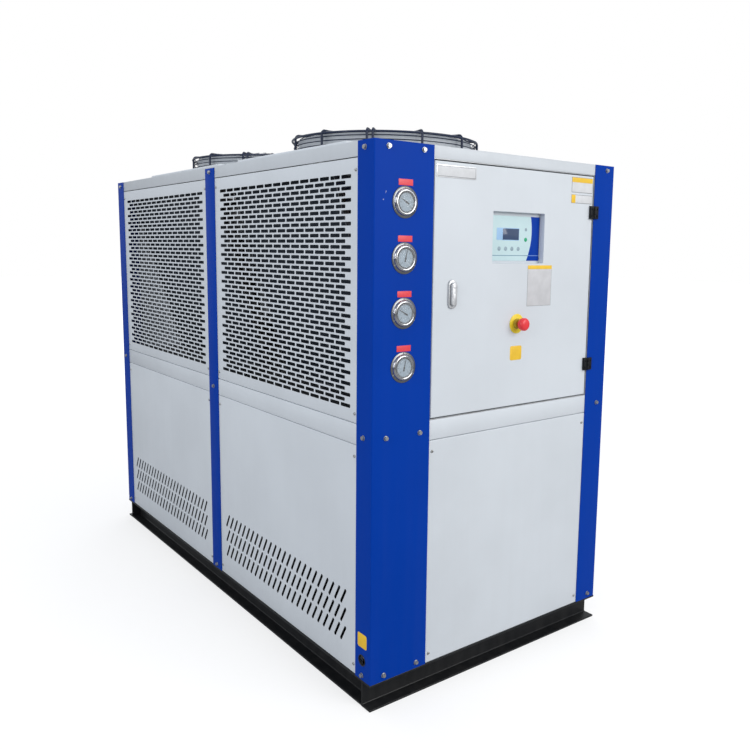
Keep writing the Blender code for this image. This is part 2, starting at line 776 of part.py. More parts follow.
def build_electrical_box():
    """Set the open-fronted electrical box on the rail, lining the door opening."""
    left = LEFT + FRONT_LEFT_FACE
    right = RIGHT - FRONT_RIGHT_FACE
    low = BASE_HEIGHT + RAIL_TOP - SEAM / 2 + GAP
    high = BASE_HEIGHT + FRONT_CORNICE_LOW + SEAM / 2 - GAP
    outer_low = (left - BOX_SHEET, FACE, low)
    outer_high = (right + BOX_SHEET, FACE + BOX_DEPTH, high)
    pan("electrical_box", outer_low, outer_high, (1, -1), STEEL, BOX_SHEET)


def build_door():
    """Fold the control door, with a deep well for the control unit and a hole for the stop collar."""
    left = FRONT_LEFT_FACE + DOOR_GAP
    right = WIDTH - FRONT_RIGHT_FACE - DOOR_GAP
    low = RAIL_TOP - SEAM / 2 + GAP + BOX_SHEET + DOOR_GAP
    high = FRONT_CORNICE_LOW + SEAM / 2 - GAP - BOX_SHEET - DOOR_GAP
    corner_low = (LEFT + left, FACE, BASE_HEIGHT + low)
    corner_high = (LEFT + right, FACE + DOOR_DEPTH, BASE_HEIGHT + high)
    door = pan("control_door", corner_low, corner_high, (1, 1), WHITE, DOOR_SHEET)
    centre = at(CONTROL_X, 0, CONTROL_Z)
    half = Vector((CONTROL_WIDTH / 2, 0, CONTROL_HEIGHT / 2))
    wall = Vector((DOOR_SHEET, 0, DOOR_SHEET))
    depth = Vector((0, CONTROL_RECESS, 0))
    step = Vector((0, DOOR_SHEET / 2, 0))
    well = box("control_well_walls", centre - half - wall + step, centre + half + wall + depth)
    past = Vector((0, CUT_OVERSHOOT, 0))
    opening = box("control_well_opening", centre - half - past, centre + half + depth + past)
    fuse(door, well)
    cut(door, opening)
    rim = Vector((CONTROL_RIM, 0, CONTROL_RIM))
    seat = Vector((0, CONTROL_RECESS + GAP, 0))
    back = Vector((0, CONTROL_DEPTH, 0))
    unit = box("control_unit", centre - half - rim + seat, centre + half + rim + seat + back, PANEL_FILM)
    return door, unit


def build_latch():
    """Seat the latch plate on the door and its turning lever on the plate."""
    plate = capsule(
        "latch_plate", LATCH_WIDTH, LATCH_LENGTH, LATCH_PLATE,
        at(LATCH_X, GAP + LATCH_PLATE / 2, LATCH_Z), CHROME,
    )
    pivot_z = LATCH_Z + (LATCH_LEVER_LENGTH - LATCH_LEVER_WIDTH) / 2
    front = GAP + LATCH_PLATE
    bore = cylinder(
        "latch_bore", LATCH_PIN_RADIUS + BORE_CLEARANCE, at(LATCH_X, CUT_OVERSHOOT, pivot_z), (0, 1, 0),
        CUT_OVERSHOOT - GAP - LATCH_BORE_FLOOR, sides=16,
    )
    cut(plate, bore)
    lever = capsule(
        "latch_lever", LATCH_LEVER_WIDTH, LATCH_LEVER_LENGTH, LATCH_LEVER_THICKNESS,
        at(LATCH_X, front + BORE_CLEARANCE + LATCH_LEVER_THICKNESS / 2, LATCH_Z), CHROME,
    )
    pin = cylinder(
        "latch_pin", LATCH_PIN_RADIUS, at(LATCH_X, front + BORE_CLEARANCE + LATCH_PIN_IN, pivot_z),
        (0, 1, 0), LATCH_PIN_LENGTH, sides=16,
    )
    fuse(lever, pin)
    return plate, lever, at(LATCH_X, front, pivot_z)


def build_stop():
    """Make the stop's round plate with its collar, and the mushroom head on its sliding stem."""
    place = at(STOP_X, GAP, STOP_Z)
    turn = (math.radians(90), 0, 0)
    bore = STOP_STEM_RADIUS + BORE_CLEARANCE
    floor = STOP_BORE_FLOOR
    collar = [
        (0.0, floor),
        (bore, floor),
        (bore, STOP_COLLAR),
        (STOP_COLLAR_RADIUS, STOP_COLLAR),
        (STOP_COLLAR_RADIUS, STOP_PLATE),
        (STOP_PLATE_RADIUS, STOP_PLATE),
        (STOP_PLATE_RADIUS, 0.0),
        (0.0, 0.0),
    ]
    plate = turned("stop_plate", collar, place, YELLOW, turn=turn)
    top = STOP_REACH - GAP
    under = top - STOP_HEAD
    head = [
        (0.0, top),
        (STOP_HEAD_RADIUS * 0.62, top - 0.0015),
        (STOP_HEAD_RADIUS * 0.93, top - 0.0055),
        (STOP_HEAD_RADIUS, top - 0.0105),
        (STOP_HEAD_RADIUS, top - 0.0165),
        (STOP_HEAD_RADIUS * 0.90, top - 0.0190),
        (STOP_STEM_RADIUS * 1.5, under),
        (STOP_STEM_RADIUS, under),
        (STOP_STEM_RADIUS, floor + STOP_TRAVEL + GAP),
        (0.0, floor + STOP_TRAVEL + GAP),
    ]
    button = turned("stop_button", head, place, RED, turn=turn)
    return plate, button, at(STOP_X, STOP_REACH, STOP_Z)


def build_hinges(carrier):
    """Fit two hinges: the post leaf has the middle barrel and the pin, the door leaf the outer barrels."""
    seam = WIDTH - FRONT_RIGHT_FACE - DOOR_GAP / 2
    axis_out = HINGE_AXIS_OUT
    barrel = HINGE_LENGTH / 3
    for place_name, height in zip(("upper", "lower"), HINGE_HEIGHTS):
        low = height - HINGE_LENGTH / 2
        post_leaf = box(
            f"{place_name}_hinge_post_leaf",
            at(seam + HINGE_BARREL_RADIUS / 2, axis_out, low),
            at(seam + HINGE_LEAF_WIDTH, SKIN + GAP, low + HINGE_LENGTH),
            BLACK,
        )
        door_leaf = box(
            f"{place_name}_hinge_door_leaf",
            at(seam - HINGE_LEAF_WIDTH, axis_out, low),
            at(seam - HINGE_BARREL_RADIUS / 2, GAP, low + HINGE_LENGTH),
            BLACK,
        )
        clear = HINGE_BARREL_RADIUS + BORE_CLEARANCE
        slack = Vector((0, 0, HINGE_SLACK))
        for leaf, mine in ((post_leaf, (1,)), (door_leaf, (0, 2))):
            for third in range(3):
                start = at(seam, axis_out, low + third * barrel)
                if third not in mine:
                    piece = cylinder(
                        f"{leaf.name}_relief_{third}", clear, start - slack, (0, 0, 1),
                        barrel + 2 * slack.z, sides=SIDES_SMALL,
                    )
                    cut(leaf, piece)
            for third in mine:
                start = at(seam, axis_out, low + third * barrel)
                piece = cylinder(
                    f"{leaf.name}_barrel_{third}", HINGE_BARREL_RADIUS, start + slack, (0, 0, 1),
                    barrel - 2 * slack.z, sides=SIDES_SMALL,
                )
                fuse(leaf, piece)
        pin = cylinder(
            f"{place_name}_hinge_pin", HINGE_PIN_RADIUS, at(seam, axis_out, low + HINGE_PIN_IN),
            (0, 0, 1), HINGE_LENGTH - 2 * HINGE_PIN_IN, sides=SIDES_SMALL,
        )
        bore = cylinder(
            f"{place_name}_hinge_bore", HINGE_PIN_RADIUS + BORE_CLEARANCE, at(seam, axis_out, low - CUT_OVERSHOOT),
            (0, 0, 1), HINGE_LENGTH + 2 * CUT_OVERSHOOT, sides=SIDES_SMALL,
        )
        fuse(post_leaf, pin)
        cut(door_leaf, bore)
        hang(door_leaf, carrier)


def build_gauges():
    """Mount the column of pressure gauges on the wide post: flange, bezel and sunken dial."""
    turn = (math.radians(90), 0, 0)
    reach = GAUGE_BEZEL_REACH
    lip = GAUGE_BEZEL_RADIUS - GAUGE_BEZEL_WALL
    profile = [
        (0.0, reach - GAUGE_DIAL_DEPTH),
        (lip, reach - GAUGE_DIAL_DEPTH),
        (lip + 0.001, reach),
        (GAUGE_BEZEL_RADIUS - 0.0015, reach),
        (GAUGE_BEZEL_RADIUS, reach - 0.0025),
        (GAUGE_BEZEL_RADIUS, GAUGE_FLANGE),
        (GAUGE_FLANGE_RADIUS, GAUGE_FLANGE),
        (GAUGE_FLANGE_RADIUS, 0.0),
        (0.0, 0.0),
    ]
    for i in range(GAUGE_COUNT):
        place = at(GAUGE_X, SKIN + GAP, GAUGE_TOP_Z - i * GAUGE_PITCH)
        turned(f"pressure_gauge_{i + 1}", profile, place, CHROME, turn=turn)


def build():
    """Build every piece and hang the moving ones on their axes."""
    build_base()
    build_posts()
    build_rails()
    build_side_panels()
    build_end_panels()
    build_roof()
    build_fans()
    build_coils()
    build_electrical_box()
    seam = WIDTH - FRONT_RIGHT_FACE - DOOR_GAP / 2
    hinge = empty("control_door_hinge", at(seam, HINGE_AXIS_OUT, (RAIL_TOP + CORNICE_LOW) / 2))
    door, unit = build_door()
    plate, lever, latch_axis = build_latch()
    stop_plate, button, button_axis = build_stop()
    for thing in (door, unit, plate, stop_plate):
        hang(thing, hinge)
    pivot = empty("latch_pivot", latch_axis - carrier_place(hinge))
    pivot.parent = hinge
    hang(lever, pivot)
    slide = empty("stop_slide", button_axis - carrier_place(hinge))
    slide.parent = hinge
    hang(button, slide)
    build_hinges(hinge)
    build_gauges()


build()
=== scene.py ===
"""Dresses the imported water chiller: sheet-metal cabinet, wire fan guards, controls and gauges.

Lengths are in metres. The front faces -Y and the ground is z = 0. Sizes that come from the
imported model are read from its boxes, so each piece sits where its CAD node sits.
"""
import json
import math

import bmesh
import bpy
import numpy as np
from bpy.props import FloatProperty, FloatVectorProperty, IntProperty
from mathutils import Matrix, Vector

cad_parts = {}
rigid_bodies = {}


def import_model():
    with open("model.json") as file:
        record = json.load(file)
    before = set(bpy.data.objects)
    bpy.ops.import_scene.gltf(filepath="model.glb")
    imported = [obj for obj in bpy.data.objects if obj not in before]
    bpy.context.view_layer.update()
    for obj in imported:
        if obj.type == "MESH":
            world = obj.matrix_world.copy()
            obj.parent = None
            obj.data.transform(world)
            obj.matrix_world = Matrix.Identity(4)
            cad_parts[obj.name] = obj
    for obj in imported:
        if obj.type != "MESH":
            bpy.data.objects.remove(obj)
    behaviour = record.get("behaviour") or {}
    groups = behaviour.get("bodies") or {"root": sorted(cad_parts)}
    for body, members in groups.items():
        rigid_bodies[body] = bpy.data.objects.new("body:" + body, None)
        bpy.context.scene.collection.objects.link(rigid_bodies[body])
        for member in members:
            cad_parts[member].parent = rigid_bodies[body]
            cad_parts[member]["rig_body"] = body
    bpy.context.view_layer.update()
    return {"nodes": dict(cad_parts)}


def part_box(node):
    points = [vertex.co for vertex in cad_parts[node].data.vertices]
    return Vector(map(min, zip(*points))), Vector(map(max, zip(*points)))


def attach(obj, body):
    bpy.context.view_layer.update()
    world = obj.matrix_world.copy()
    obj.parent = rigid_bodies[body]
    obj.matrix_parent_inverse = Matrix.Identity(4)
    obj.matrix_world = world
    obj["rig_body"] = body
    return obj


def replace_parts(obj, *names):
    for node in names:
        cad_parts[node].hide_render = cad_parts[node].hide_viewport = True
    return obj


bl_info = {
    "name": "Water chiller dresser",
    "version": (1, 0, 0),
    "blender": (4, 5, 0),
    "location": "3D View > Sidebar > Chiller",
    "description": "Builds the visible pieces of an air-cooled water chiller",
    "category": "Add Mesh",
}

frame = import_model()

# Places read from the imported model; SKIN is how far the panels lie behind the posts' faces
NEAR_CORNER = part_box("front_left_post")[0]
FAR_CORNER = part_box("rear_right_post")[1]
LEFT, FRONT = NEAR_CORNER.x, NEAR_CORNER.y
RIGHT, REAR = FAR_CORNER.x, FAR_CORNER.y
BASE_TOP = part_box("base_frame")[1].z
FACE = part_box("control_door")[0].y
MIDDLE = (FRONT + REAR) / 2
SKIN = FACE - FRONT

# Directions across, up and out of a face
FRONTWARD = ((1, 0, 0), (0, 0, 1), (0, -1, 0))
REARWARD = ((-1, 0, 0), (0, 0, 1), (0, 1, 0))
LEFTWARD = ((0, -1, 0), (0, 0, 1), (-1, 0, 0))
UPWARD = ((1, 0, 0), (0, 1, 0), (0, 0, 1))

# Angles of a fold's quarter turn, and degrees past which an edge of sheet metal stays sharp
QUARTER = np.linspace(0, math.pi / 2, 5)
CREASE = 30


# meshes


def grid_faces(rows, columns, wrap=False):
    """Quads of a grid of rows x columns points; with wrap the last column joins the first."""
    across = columns if wrap else columns - 1
    r, c = np.meshgrid(np.arange(rows - 1), np.arange(across), indexing="ij")
    n = (c + 1) % columns
    return np.stack(
        [r * columns + c, r * columns + n, (r + 1) * columns + n, (r + 1) * columns + c], -1
    ).reshape(-1, 4)


def full_turn(steps):
    """Angles in even steps round a circle."""
    return np.arange(steps) * 2 * math.pi / steps


def spokes(axis, steps):
    """Unit vectors square to an axis, in even steps round it."""
    axis = np.asarray(axis, float)
    upright = abs(axis[2]) > 0.9
    first = np.cross(axis, [1.0, 0.0, 0.0] if upright else [0.0, 0.0, 1.0])
    first /= np.linalg.norm(first)
    second = np.cross(axis, first)
    turn = full_turn(steps)
    return np.cos(turn)[:, None] * first + np.sin(turn)[:, None] * second


def halfway(low, high):
    """The middle of a box."""
    return np.array([(a + b) / 2 for a, b in zip(low, high)])


def seat(low, high):
    """The middle of a box's rear face, on which a fitting of the front stands."""
    return np.array([(low.x + high.x) / 2, high.y, (low.z + high.z) / 2])


def joined(parts):
    """One (points, faces) pair out of many; faces are lists of point numbers."""
    points, faces, count = [], [], 0
    for p, f in parts:
        points.append(np.asarray(p, float).reshape(-1, 3))
        faces.extend([[i + count for i in face] for face in (f.tolist() if hasattr(f, "tolist") else f)])
        count += len(points[-1])
    return np.concatenate(points), faces


def smooth(piece, crease=CREASE):
    """Smooth shading, with edges past the crease angle left sharp."""
    piece.data.shade_smooth()
    piece.data.set_sharp_from_angle(angle=math.radians(crease))


def mesh_piece(name, points, faces, body, slot, finish, crease=40, weld=1e-6):
    """An object at the origin from points and faces: doubles are welded and normals turned outward."""
    mesh = bpy.data.meshes.new(name)
    mesh.from_pydata(np.asarray(points, float).reshape(-1, 3).tolist(), [], [list(f) for f in faces])
    work = bmesh.new()
    work.from_mesh(mesh)
    bmesh.ops.remove_doubles(work, verts=work.verts, dist=weld)
    bmesh.ops.recalc_face_normals(work, faces=work.faces)
    work.to_mesh(mesh)
    work.free()
    piece = bpy.data.objects.new(name, mesh)
    bpy.context.scene.collection.objects.link(piece)
    smooth(piece, crease)
    mesh.materials.append(MATERIALS[finish])
    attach(piece, body)
    return piece


def settle(piece):
    """Applies a piece's modifiers to its mesh."""
    bpy.context.view_layer.update()
    mesh = bpy.data.meshes.new_from_object(piece.evaluated_get(bpy.context.evaluated_depsgraph_get()))
    piece.modifiers.clear()
    piece.data = mesh
    return piece


def thicken(piece, thickness, offset=-1.0, shade_finish=None):
    """Gives an open sheet its wall; if a shade finish is named, it goes on the inner face and the cut edges
    as painted shade.
    """
    wall = piece.modifiers.new("wall", "SOLIDIFY")
    wall.thickness = thickness
    wall.offset = offset
    wall.use_even_offset = True
    if shade_finish:
        piece.data.materials.append(MATERIALS[shade_finish])
        wall.material_offset = 1
        wall.material_offset_rim = 1
    return settle(piece)


def soften(piece, width, segments=2):
    """Rounds the sharp edges of a closed piece."""
    bevel = piece.modifiers.new("edge", "BEVEL")
    bevel.width = width
    bevel.segments = segments
    bevel.limit_method = "ANGLE"
    bevel.angle_limit = math.radians(40)
    bevel.harden_normals = False
    return settle(piece)


def softened_node(node, width, finish, segments=2):
    """Copies a CAD node, merges its triangles into flat faces and rounds its edges; replaces the node."""
    source = frame["nodes"][node]
    work = bmesh.new()
    work.from_mesh(source.data)
    bmesh.ops.remove_doubles(work, verts=work.verts, dist=1e-6)
    bmesh.ops.dissolve_limit(work, angle_limit=math.radians(0.5), verts=work.verts, edges=work.edges)
    mesh = bpy.data.meshes.new(node + "_dressed")
    work.to_mesh(mesh)
    work.free()
    mesh.materials.append(MATERIALS[finish])
    piece = bpy.data.objects.new(node + "_dressed", mesh)
    bpy.context.scene.collection.objects.link(piece)
    soften(piece, width, segments)
    smooth(piece, 40)
    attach(piece, source["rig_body"])
    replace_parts(piece, node)


def wire(path, side, ahead, radius, sides, closed=False):
    """A circle of the radius, carried along a path square to its direction ahead; the ends are capped
    unless the path is closed."""
    up = np.cross(side, ahead)
    turn = full_turn(sides)[None, :, None]
    points = path[:, None] + radius * np.cos(turn) * side[:, None] + radius * np.sin(turn) * up[:, None]
    if closed:
        points = np.concatenate([points, points[:1]])
    rows = len(points)
    faces = grid_faces(rows, sides, True).tolist()
    if not closed:
        faces.append(list(range(sides))[::-1])
        faces.append([(rows - 1) * sides + i for i in range(sides)])
    return points.reshape(-1, 3), faces


def tube(path, radius, sides=8, closed=False):
    """A round wire along a straight or flat path; its circles are turned by the plane the path lies in,
    or by an axis where a straight path gives no such plane."""
    path = np.asarray(path, float)
    if closed:
        ahead = np.roll(path, -1, 0) - np.roll(path, 1, 0)
    else:
        ahead = np.gradient(path, axis=0)
    ahead /= np.linalg.norm(ahead, axis=1)[:, None]
    plane = np.linalg.svd(path - path.mean(0))[2][2]
    near = 0.7
    if np.abs(ahead @ plane).max() > near:
        plane = np.array([0.0, 1.0, 0.0]) if abs(ahead[0][1]) < near else np.array([1.0, 0.0, 0.0])
    side = np.cross(ahead, plane)
    side /= np.linalg.norm(side, axis=1)[:, None]
    return wire(path, side, ahead, radius, sides, closed)


def tube_upright(path, radius, across, sides=8):
    """A wire along a path in one upright plane, whose level direction is across."""
    ahead = np.gradient(path, axis=0)
    ahead /= np.linalg.norm(ahead, axis=1)[:, None]
    side = np.cross(across, (0, 0, 1.0))
    side = np.broadcast_to(side / np.linalg.norm(side), ahead.shape)
    return wire(path, side, ahead, radius, sides)


def lathe(profile, centre, axis, steps=48):
    """Turns a (radius, distance) profile about an axis through a centre; radius 0 closes to a pole."""
    profile = np.asarray(profile, float)
    axis = np.asarray(axis, float)
    ring = spokes(axis, steps)
    points = np.asarray(centre, float) + profile[:, None, 1:2] * axis + profile[:, None, 0:1] * ring[None]
    return points.reshape(-1, 3), grid_faces(len(profile), steps, True)


def rounded_loop(width, height, radius, arc=5, straight=4):
    """Points of a rounded rectangle about 0, and each one's outward direction, anticlockwise from +X."""
    points, normals = [], []
    for corner in range(4):
        sx, sy = ((1, 1), (-1, 1), (-1, -1), (1, -1))[corner]
        centre = np.array([sx * (width / 2 - radius), sy * (height / 2 - radius)])
        for step in range(arc + 1):
            angle = math.pi / 2 * (corner + step / arc)
            normal = np.array([math.cos(angle), math.sin(angle)])
            points.append(centre + radius * normal)
            normals.append(normal)
        nx, ny = ((-1, 1), (-1, -1), (1, -1), (1, 1))[corner]
        end = np.array([nx * (width / 2 - radius), ny * (height / 2 - radius)]) + radius * normals[-1]
        for step in range(1, straight):
            start = points[corner * (arc + straight) + arc]
            points.append(start * (1 - step / straight) + end * step / straight)
            normals.append(normals[-1])
    return np.array(points), np.array(normals)


def placed(flat, depth, origin, across, up, out):
    """Carries flat (x, y) points and their depths into space on the directions across, up and out."""
    flat = np.asarray(flat, float)
    depth = np.broadcast_to(np.asarray(depth, float), flat.shape[:-1])
    return (
        np.asarray(origin, float)
        + flat[..., 0:1] * np.asarray(across, float)
        + flat[..., 1:2] * np.asarray(up, float)
        + depth[..., None] * np.asarray(out, float)
    )


def ringed(rings, closed_end=True):
    """A surface through rings of equal point counts, the last one closed with a flat face."""
    rings = np.asarray(rings, float)
    rows, columns = rings.shape[:2]
    faces = grid_faces(rows, columns, True).tolist()
    if closed_end:
        faces.append([(rows - 1) * columns + i for i in range(columns)])
    return rings.reshape(-1, 3), faces


def slab(width, height, thickness, radius, edge, origin, across, up, out, arc=6):
    """A plate with rounded corners and edges: inset outlines rise along a quarter circle to a flat
    middle, and the back is flat with its rim drawn in a little."""
    flat, normal = rounded_loop(width, height, radius, arc, 2)
    back_inset = 0.3 * edge
    rings = [placed(flat - normal * back_inset, 0.0, origin, across, up, out)]
    for turn in np.linspace(0, math.pi / 2, 4):
        rings.append(placed(
            flat - normal * edge * (1 - math.cos(turn)), thickness - edge * (1 - math.sin(turn)),
            origin, across, up, out,
        ))
    points, faces = ringed(rings)
    faces.append(list(range(len(flat)))[::-1])
    return points, faces


def front_point(x, z, out=0.0):
    """A point on the front plane of the posts, from the cabinet's left edge and the base's top."""
    return np.array([LEFT + x, FRONT - out, BASE_TOP + z])


def door_point(x, z, out=0.0):
    """A point on the door's plane, from the cabinet's left edge and the base's top."""
    return np.array([LEFT + x, FACE - out, BASE_TOP + z])


def side_point(side, y, z, out=0.0):
    """A point on a side plane, from the cabinet's front and the base's top; side is -1 or 1."""
    x = LEFT - out if side < 0 else RIGHT + out
    return np.array([x, FRONT + y, BASE_TOP + z])


# materials


class Value:
    """A shader socket that takes part in arithmetic; each sign adds its Math node."""

    def __init__(self, shade, socket):
        self.shade = shade
        self.socket = socket

    def math(self, operation, *others):
        """A Math node that takes the value first, then the others."""
        return self.shade.node("ShaderNodeMath", [self, *others], operation=operation)

    def __add__(self, other):
        return self.math("ADD", other)

    def __sub__(self, other):
        return self.math("SUBTRACT", other)

    def __mul__(self, other):
        return self.math("MULTIPLY", other)

    def __rsub__(self, other):
        return self.shade.node("ShaderNodeMath", [other, self], operation="SUBTRACT")

    def over(self, edge, soft=None):
        """1 where the value is above an edge, with an optional soft width."""
        if soft is None:
            return self.math("GREATER_THAN", edge)
        return self.shade.node(
            "ShaderNodeMapRange", [self, edge - soft / 2, edge + soft / 2, 0.0, 1.0],
            interpolation_type="SMOOTHSTEP",
        )


class Shade:
    """A Principled material and its node tree."""

    def __init__(self, name, colour, roughness, metallic=0.0, **constants):
        self.material = bpy.data.materials.new(name)
        self.material.use_nodes = True
        self.tree = self.material.node_tree
        self.shader = self.tree.nodes["Principled BSDF"]
        self.put("Base Color", colour)
        self.put("Roughness", roughness)
        self.put("Metallic", metallic)
        for socket, value in constants.items():
            self.put(socket.replace("_", " "), value)
        self.material.diffuse_color = (*colour[:3], 1.0)

    def put(self, socket, value):
        """Sets or links one input of the shader, and gives the Shade back."""
        target = self.shader.inputs[socket]
        if isinstance(value, Value):
            self.tree.links.new(value.socket, target)
        else:
            target.default_value = self.fitted(value, target)
        return self

    @staticmethod
    def fitted(value, socket):
        """A plain value as its socket takes it: three numbers get an alpha of 1 where it holds four."""
        if hasattr(value, "__len__") and len(value) == 3 and len(socket.default_value) == 4:
            return (*value, 1.0)
        return value

    def node(self, kind, inputs=(), output=0, **settings):
        """Adds any node: settings first, then its inputs by order or by name."""
        made = self.tree.nodes.new(kind)
        for key, value in settings.items():
            setattr(made, key, value)
        pairs = inputs.items() if isinstance(inputs, dict) else enumerate(inputs)
        for key, value in pairs:
            if value is None:
                continue
            socket = made.inputs[key]
            if isinstance(value, Value):
                self.tree.links.new(value.socket, socket)
            else:
                socket.default_value = self.fitted(value, socket)
        return Value(self, made.outputs[output])

    def place(self):
        """Object coordinates, which here are the cabinet's own metres."""
        return self.node("ShaderNodeTexCoord", output=3)

    def parts(self, vector=None):
        """The x, y and z of a vector."""
        vector = vector or self.place()
        return [self.node("ShaderNodeSeparateXYZ", [vector], output=i) for i in range(3)]

    def stretched(self, scale):
        """Object coordinates, scaled apart along x, y and z."""
        return self.node("ShaderNodeMapping", {"Vector": self.place(), "Scale": scale})

    def noise(self, scale, detail=2.0, rough=0.5, vector=None):
        """Noise over the object's coordinates or another vector."""
        return self.node(
            "ShaderNodeTexNoise",
            {"Vector": vector or self.place(), "Scale": scale, "Detail": detail, "Roughness": rough},
        )

    def cells(self, scale):
        """Distance to the nearest cell of a Voronoi pattern."""
        return self.node("ShaderNodeTexVoronoi", {"Vector": self.place(), "Scale": scale})

    def blend(self, factor, first, second):
        """Mixes two colours by a factor; a Mix node's colour sockets are its inputs 6 and 7 and output 2."""
        return self.node("ShaderNodeMix", {0: factor, 6: first, 7: second}, output=2, data_type="RGBA")

    def distance(self, spot):
        """How far each point lies from a spot."""
        return self.node("ShaderNodeVectorMath", [self.place(), tuple(spot)], output=1, operation="DISTANCE")

    def bump(self, height, strength, distance):
        """Relief in the shader's normal, from a height."""
        return self.put("Normal", self.node(
            "ShaderNodeBump", {"Strength": strength, "Distance": distance, "Height": height},
        ))


def scaled(colour, factor):
    """A colour made darker or lighter, held at 1."""
    return tuple(min(1.0, c * factor) for c in colour[:3])


def powder_coat(name, colour, roughness, grain, streaks=0.10, gloss=0.5):
    """Baked powder coat: fine orange peel, cloudy tone, faint rain streaks and dust that gathers low."""
    shade = Shade(name, colour, roughness, IOR=1.5, Specular_IOR_Level=gloss)
    cloud = shade.noise(3.5, 3.0)
    streak = shade.noise(1.0, 4.0, 0.6, shade.stretched((26.0, 26.0, 1.3)))
    low = 1.0 - shade.parts()[2].over(0.45, 0.8)
    dust = (low * 0.5 + 0.35) * streak.over(0.52, 0.25)
    tone = shade.blend(cloud.over(0.5, 0.5), scaled(colour, 0.965), scaled(colour, 1.03))
    dusty = (0.36, 0.34, 0.31)
    grey = tuple(0.55 * c + 0.45 * v for c, v in zip(colour, dusty))
    shade.put("Base Color", shade.blend(dust * streaks, tone, grey))
    shade.put("Roughness", cloud * 0.10 + dust * 0.12 + (roughness - 0.06))
    peel = shade.noise(420.0, 2.0)
    fine = shade.noise(1500.0, 1.0)
    shade.bump(peel * 0.75 + fine * 0.25, grain, 0.0006)
    return shade


def brushed(name, colour, roughness, direction, grain=0.12):
    """Zinc or steel sheet with rolling lines along a direction and cloudy spangle."""
    shade = Shade(name, colour, roughness, 0.92)
    scale = [900.0, 900.0, 900.0]
    scale[direction] = 8.0
    lines = shade.noise(1.0, 3.0, 0.6, shade.stretched(scale))
    spangle = shade.cells(55.0)
    cloudy = spangle.over(0.45, 0.5) * 0.35 + lines * 0.4
    shade.put("Base Color", shade.blend(cloudy, scaled(colour, 0.82), scaled(colour, 1.08)))
    shade.put("Roughness", lines * 0.16 + (roughness - 0.08))
    shade.bump(lines, grain, 0.0003)
    return shade


def polished(name, colour, roughness):
    """Bright plating with a faint haze and fine wipe marks."""
    shade = Shade(name, colour, roughness, 1.0)
    haze = shade.noise(60.0, 4.0)
    wipe = shade.noise(1.0, 2.0, 0.5, shade.stretched((1200.0, 1200.0, 60.0)))
    shade.put("Base Color", shade.blend(haze.over(0.55, 0.4), colour, scaled(colour, 0.86)))
    shade.put("Roughness", haze * 0.10 + wipe * 0.05 + max(roughness - 0.06, 0.02))
    shade.bump(wipe, 0.05, 0.0002)
    return shade


def moulded(name, colour, roughness, grain=0.10):
    """Moulded plastic: fine spark texture, faint tone change and handling shine."""
    shade = Shade(name, colour, roughness)
    cloud = shade.noise(40.0, 3.0)
    spark = shade.noise(2600.0, 2.0)
    shade.put("Base Color", shade.blend(cloud.over(0.5, 0.5), scaled(colour, 0.94), scaled(colour, 1.05)))
    shade.put("Roughness", cloud * 0.12 + (roughness - 0.06))
    shade.bump(spark, grain, 0.0002)
    return shade


def glass(name):
    """Clear gauge glass: mostly seen through, with its shine and faint dust."""
    shade = Shade(name, (0.90, 0.93, 0.95), 0.05, IOR=1.5)
    dust = shade.noise(90.0, 4.0)
    shade.put("Alpha", dust.over(0.62, 0.2) * 0.05 + 0.07)
    shade.put("Roughness", dust.over(0.62, 0.2) * 0.10 + 0.04)
    return shade


def post_blue(props):
    """The posts' enamel, worn to pale primer in three small ragged chips by the top gauge."""
    shade = powder_coat("blue_enamel", props.blue, 0.42, 0.12, 0.02, 0.05)
    primer = (0.62, 0.64, 0.66)
    chip = None
    for x, z, radius in ((0.0385, 1.3680, 0.0013), (0.0300, 1.3467, 0.0015), (0.0372, 1.3640, 0.0010)):
        spot = shade.distance(front_point(x, z))
        ragged = spot + shade.noise(700.0, 2.0) * 0.0016
        mark = 1.0 - ragged.over(radius + 0.0006, 0.0004)
        chip = mark if chip is None else chip.math("MAXIMUM", mark)
    painted = Value(shade, shade.shader.inputs["Base Color"].links[0].from_socket)
    shade.put("Base Color", shade.blend(chip, painted, primer))
    return shade


def coil_fins(props):
    """Coated fins: fine upright lines across the coil's length painted darker and lighter as the shade
    between fins and their lit edges, tube rows in the relief, and settled dirt.
    """
    shade = Shade("coil_fins", props.fins, 0.5, 0.55)
    lines = shade.node(
        "ShaderNodeTexWave", {"Vector": shade.place(), "Scale": 150.0, "Distortion": 0.25, "Detail": 1.0},
        bands_direction="Y",
    )
    rows = shade.node("ShaderNodeTexWave", {"Vector": shade.place(), "Scale": 13.0}, bands_direction="Z")
    dirt = shade.noise(9.0, 4.0)
    # Painted shade between the fins and lighter lit fin edges, mixed with real dirt
    fin_shade_and_dirt = lines * 0.55 + dirt * 0.35
    shade.put("Base Color", shade.blend(fin_shade_and_dirt, scaled(props.fins, 0.5), scaled(props.fins, 1.4)))
    shade.put("Roughness", dirt * 0.25 + 0.35)
    shade.bump(lines * 0.8 + rows * 0.2, 0.6, 0.001)
    return shade


def control_film(props):
    """Printed film of the control unit: a pale ground, a thin level line, and a blue end whose edge bows."""
    bow_height, bow_edge, bow = 1.277, 0.616, 2.7
    line_height, line_half = 1.2047, 0.0010
    shade = Shade("control_film", (0.42, 0.68, 0.72), 0.34, Specular_IOR_Level=0.15)
    x, _, z = shade.parts()
    height = z - BASE_TOP
    from_bow = height - bow_height
    blue_end = ((x - LEFT) + from_bow * from_bow * bow).over(bow_edge, 0.0004)
    line = 1.0 - (height - line_height).math("ABSOLUTE").over(line_half, 0.0004)
    sheen = shade.noise(12.0, 2.0)
    ground = shade.blend(sheen.over(0.5, 0.6), (0.56, 0.73, 0.76), (0.60, 0.765, 0.79))
    ground = shade.blend(line, ground, (0.16, 0.28, 0.38))
    blue = shade.blend(line, tuple(props.blue), (0.20, 0.32, 0.62))
    shade.put("Base Color", shade.blend(blue_end, ground, blue))
    shade.put("Roughness", sheen * 0.10 + 0.24)
    shade.bump(shade.noise(1800.0, 1.0), 0.05, 0.0001)
    return shade


MATERIALS = {}


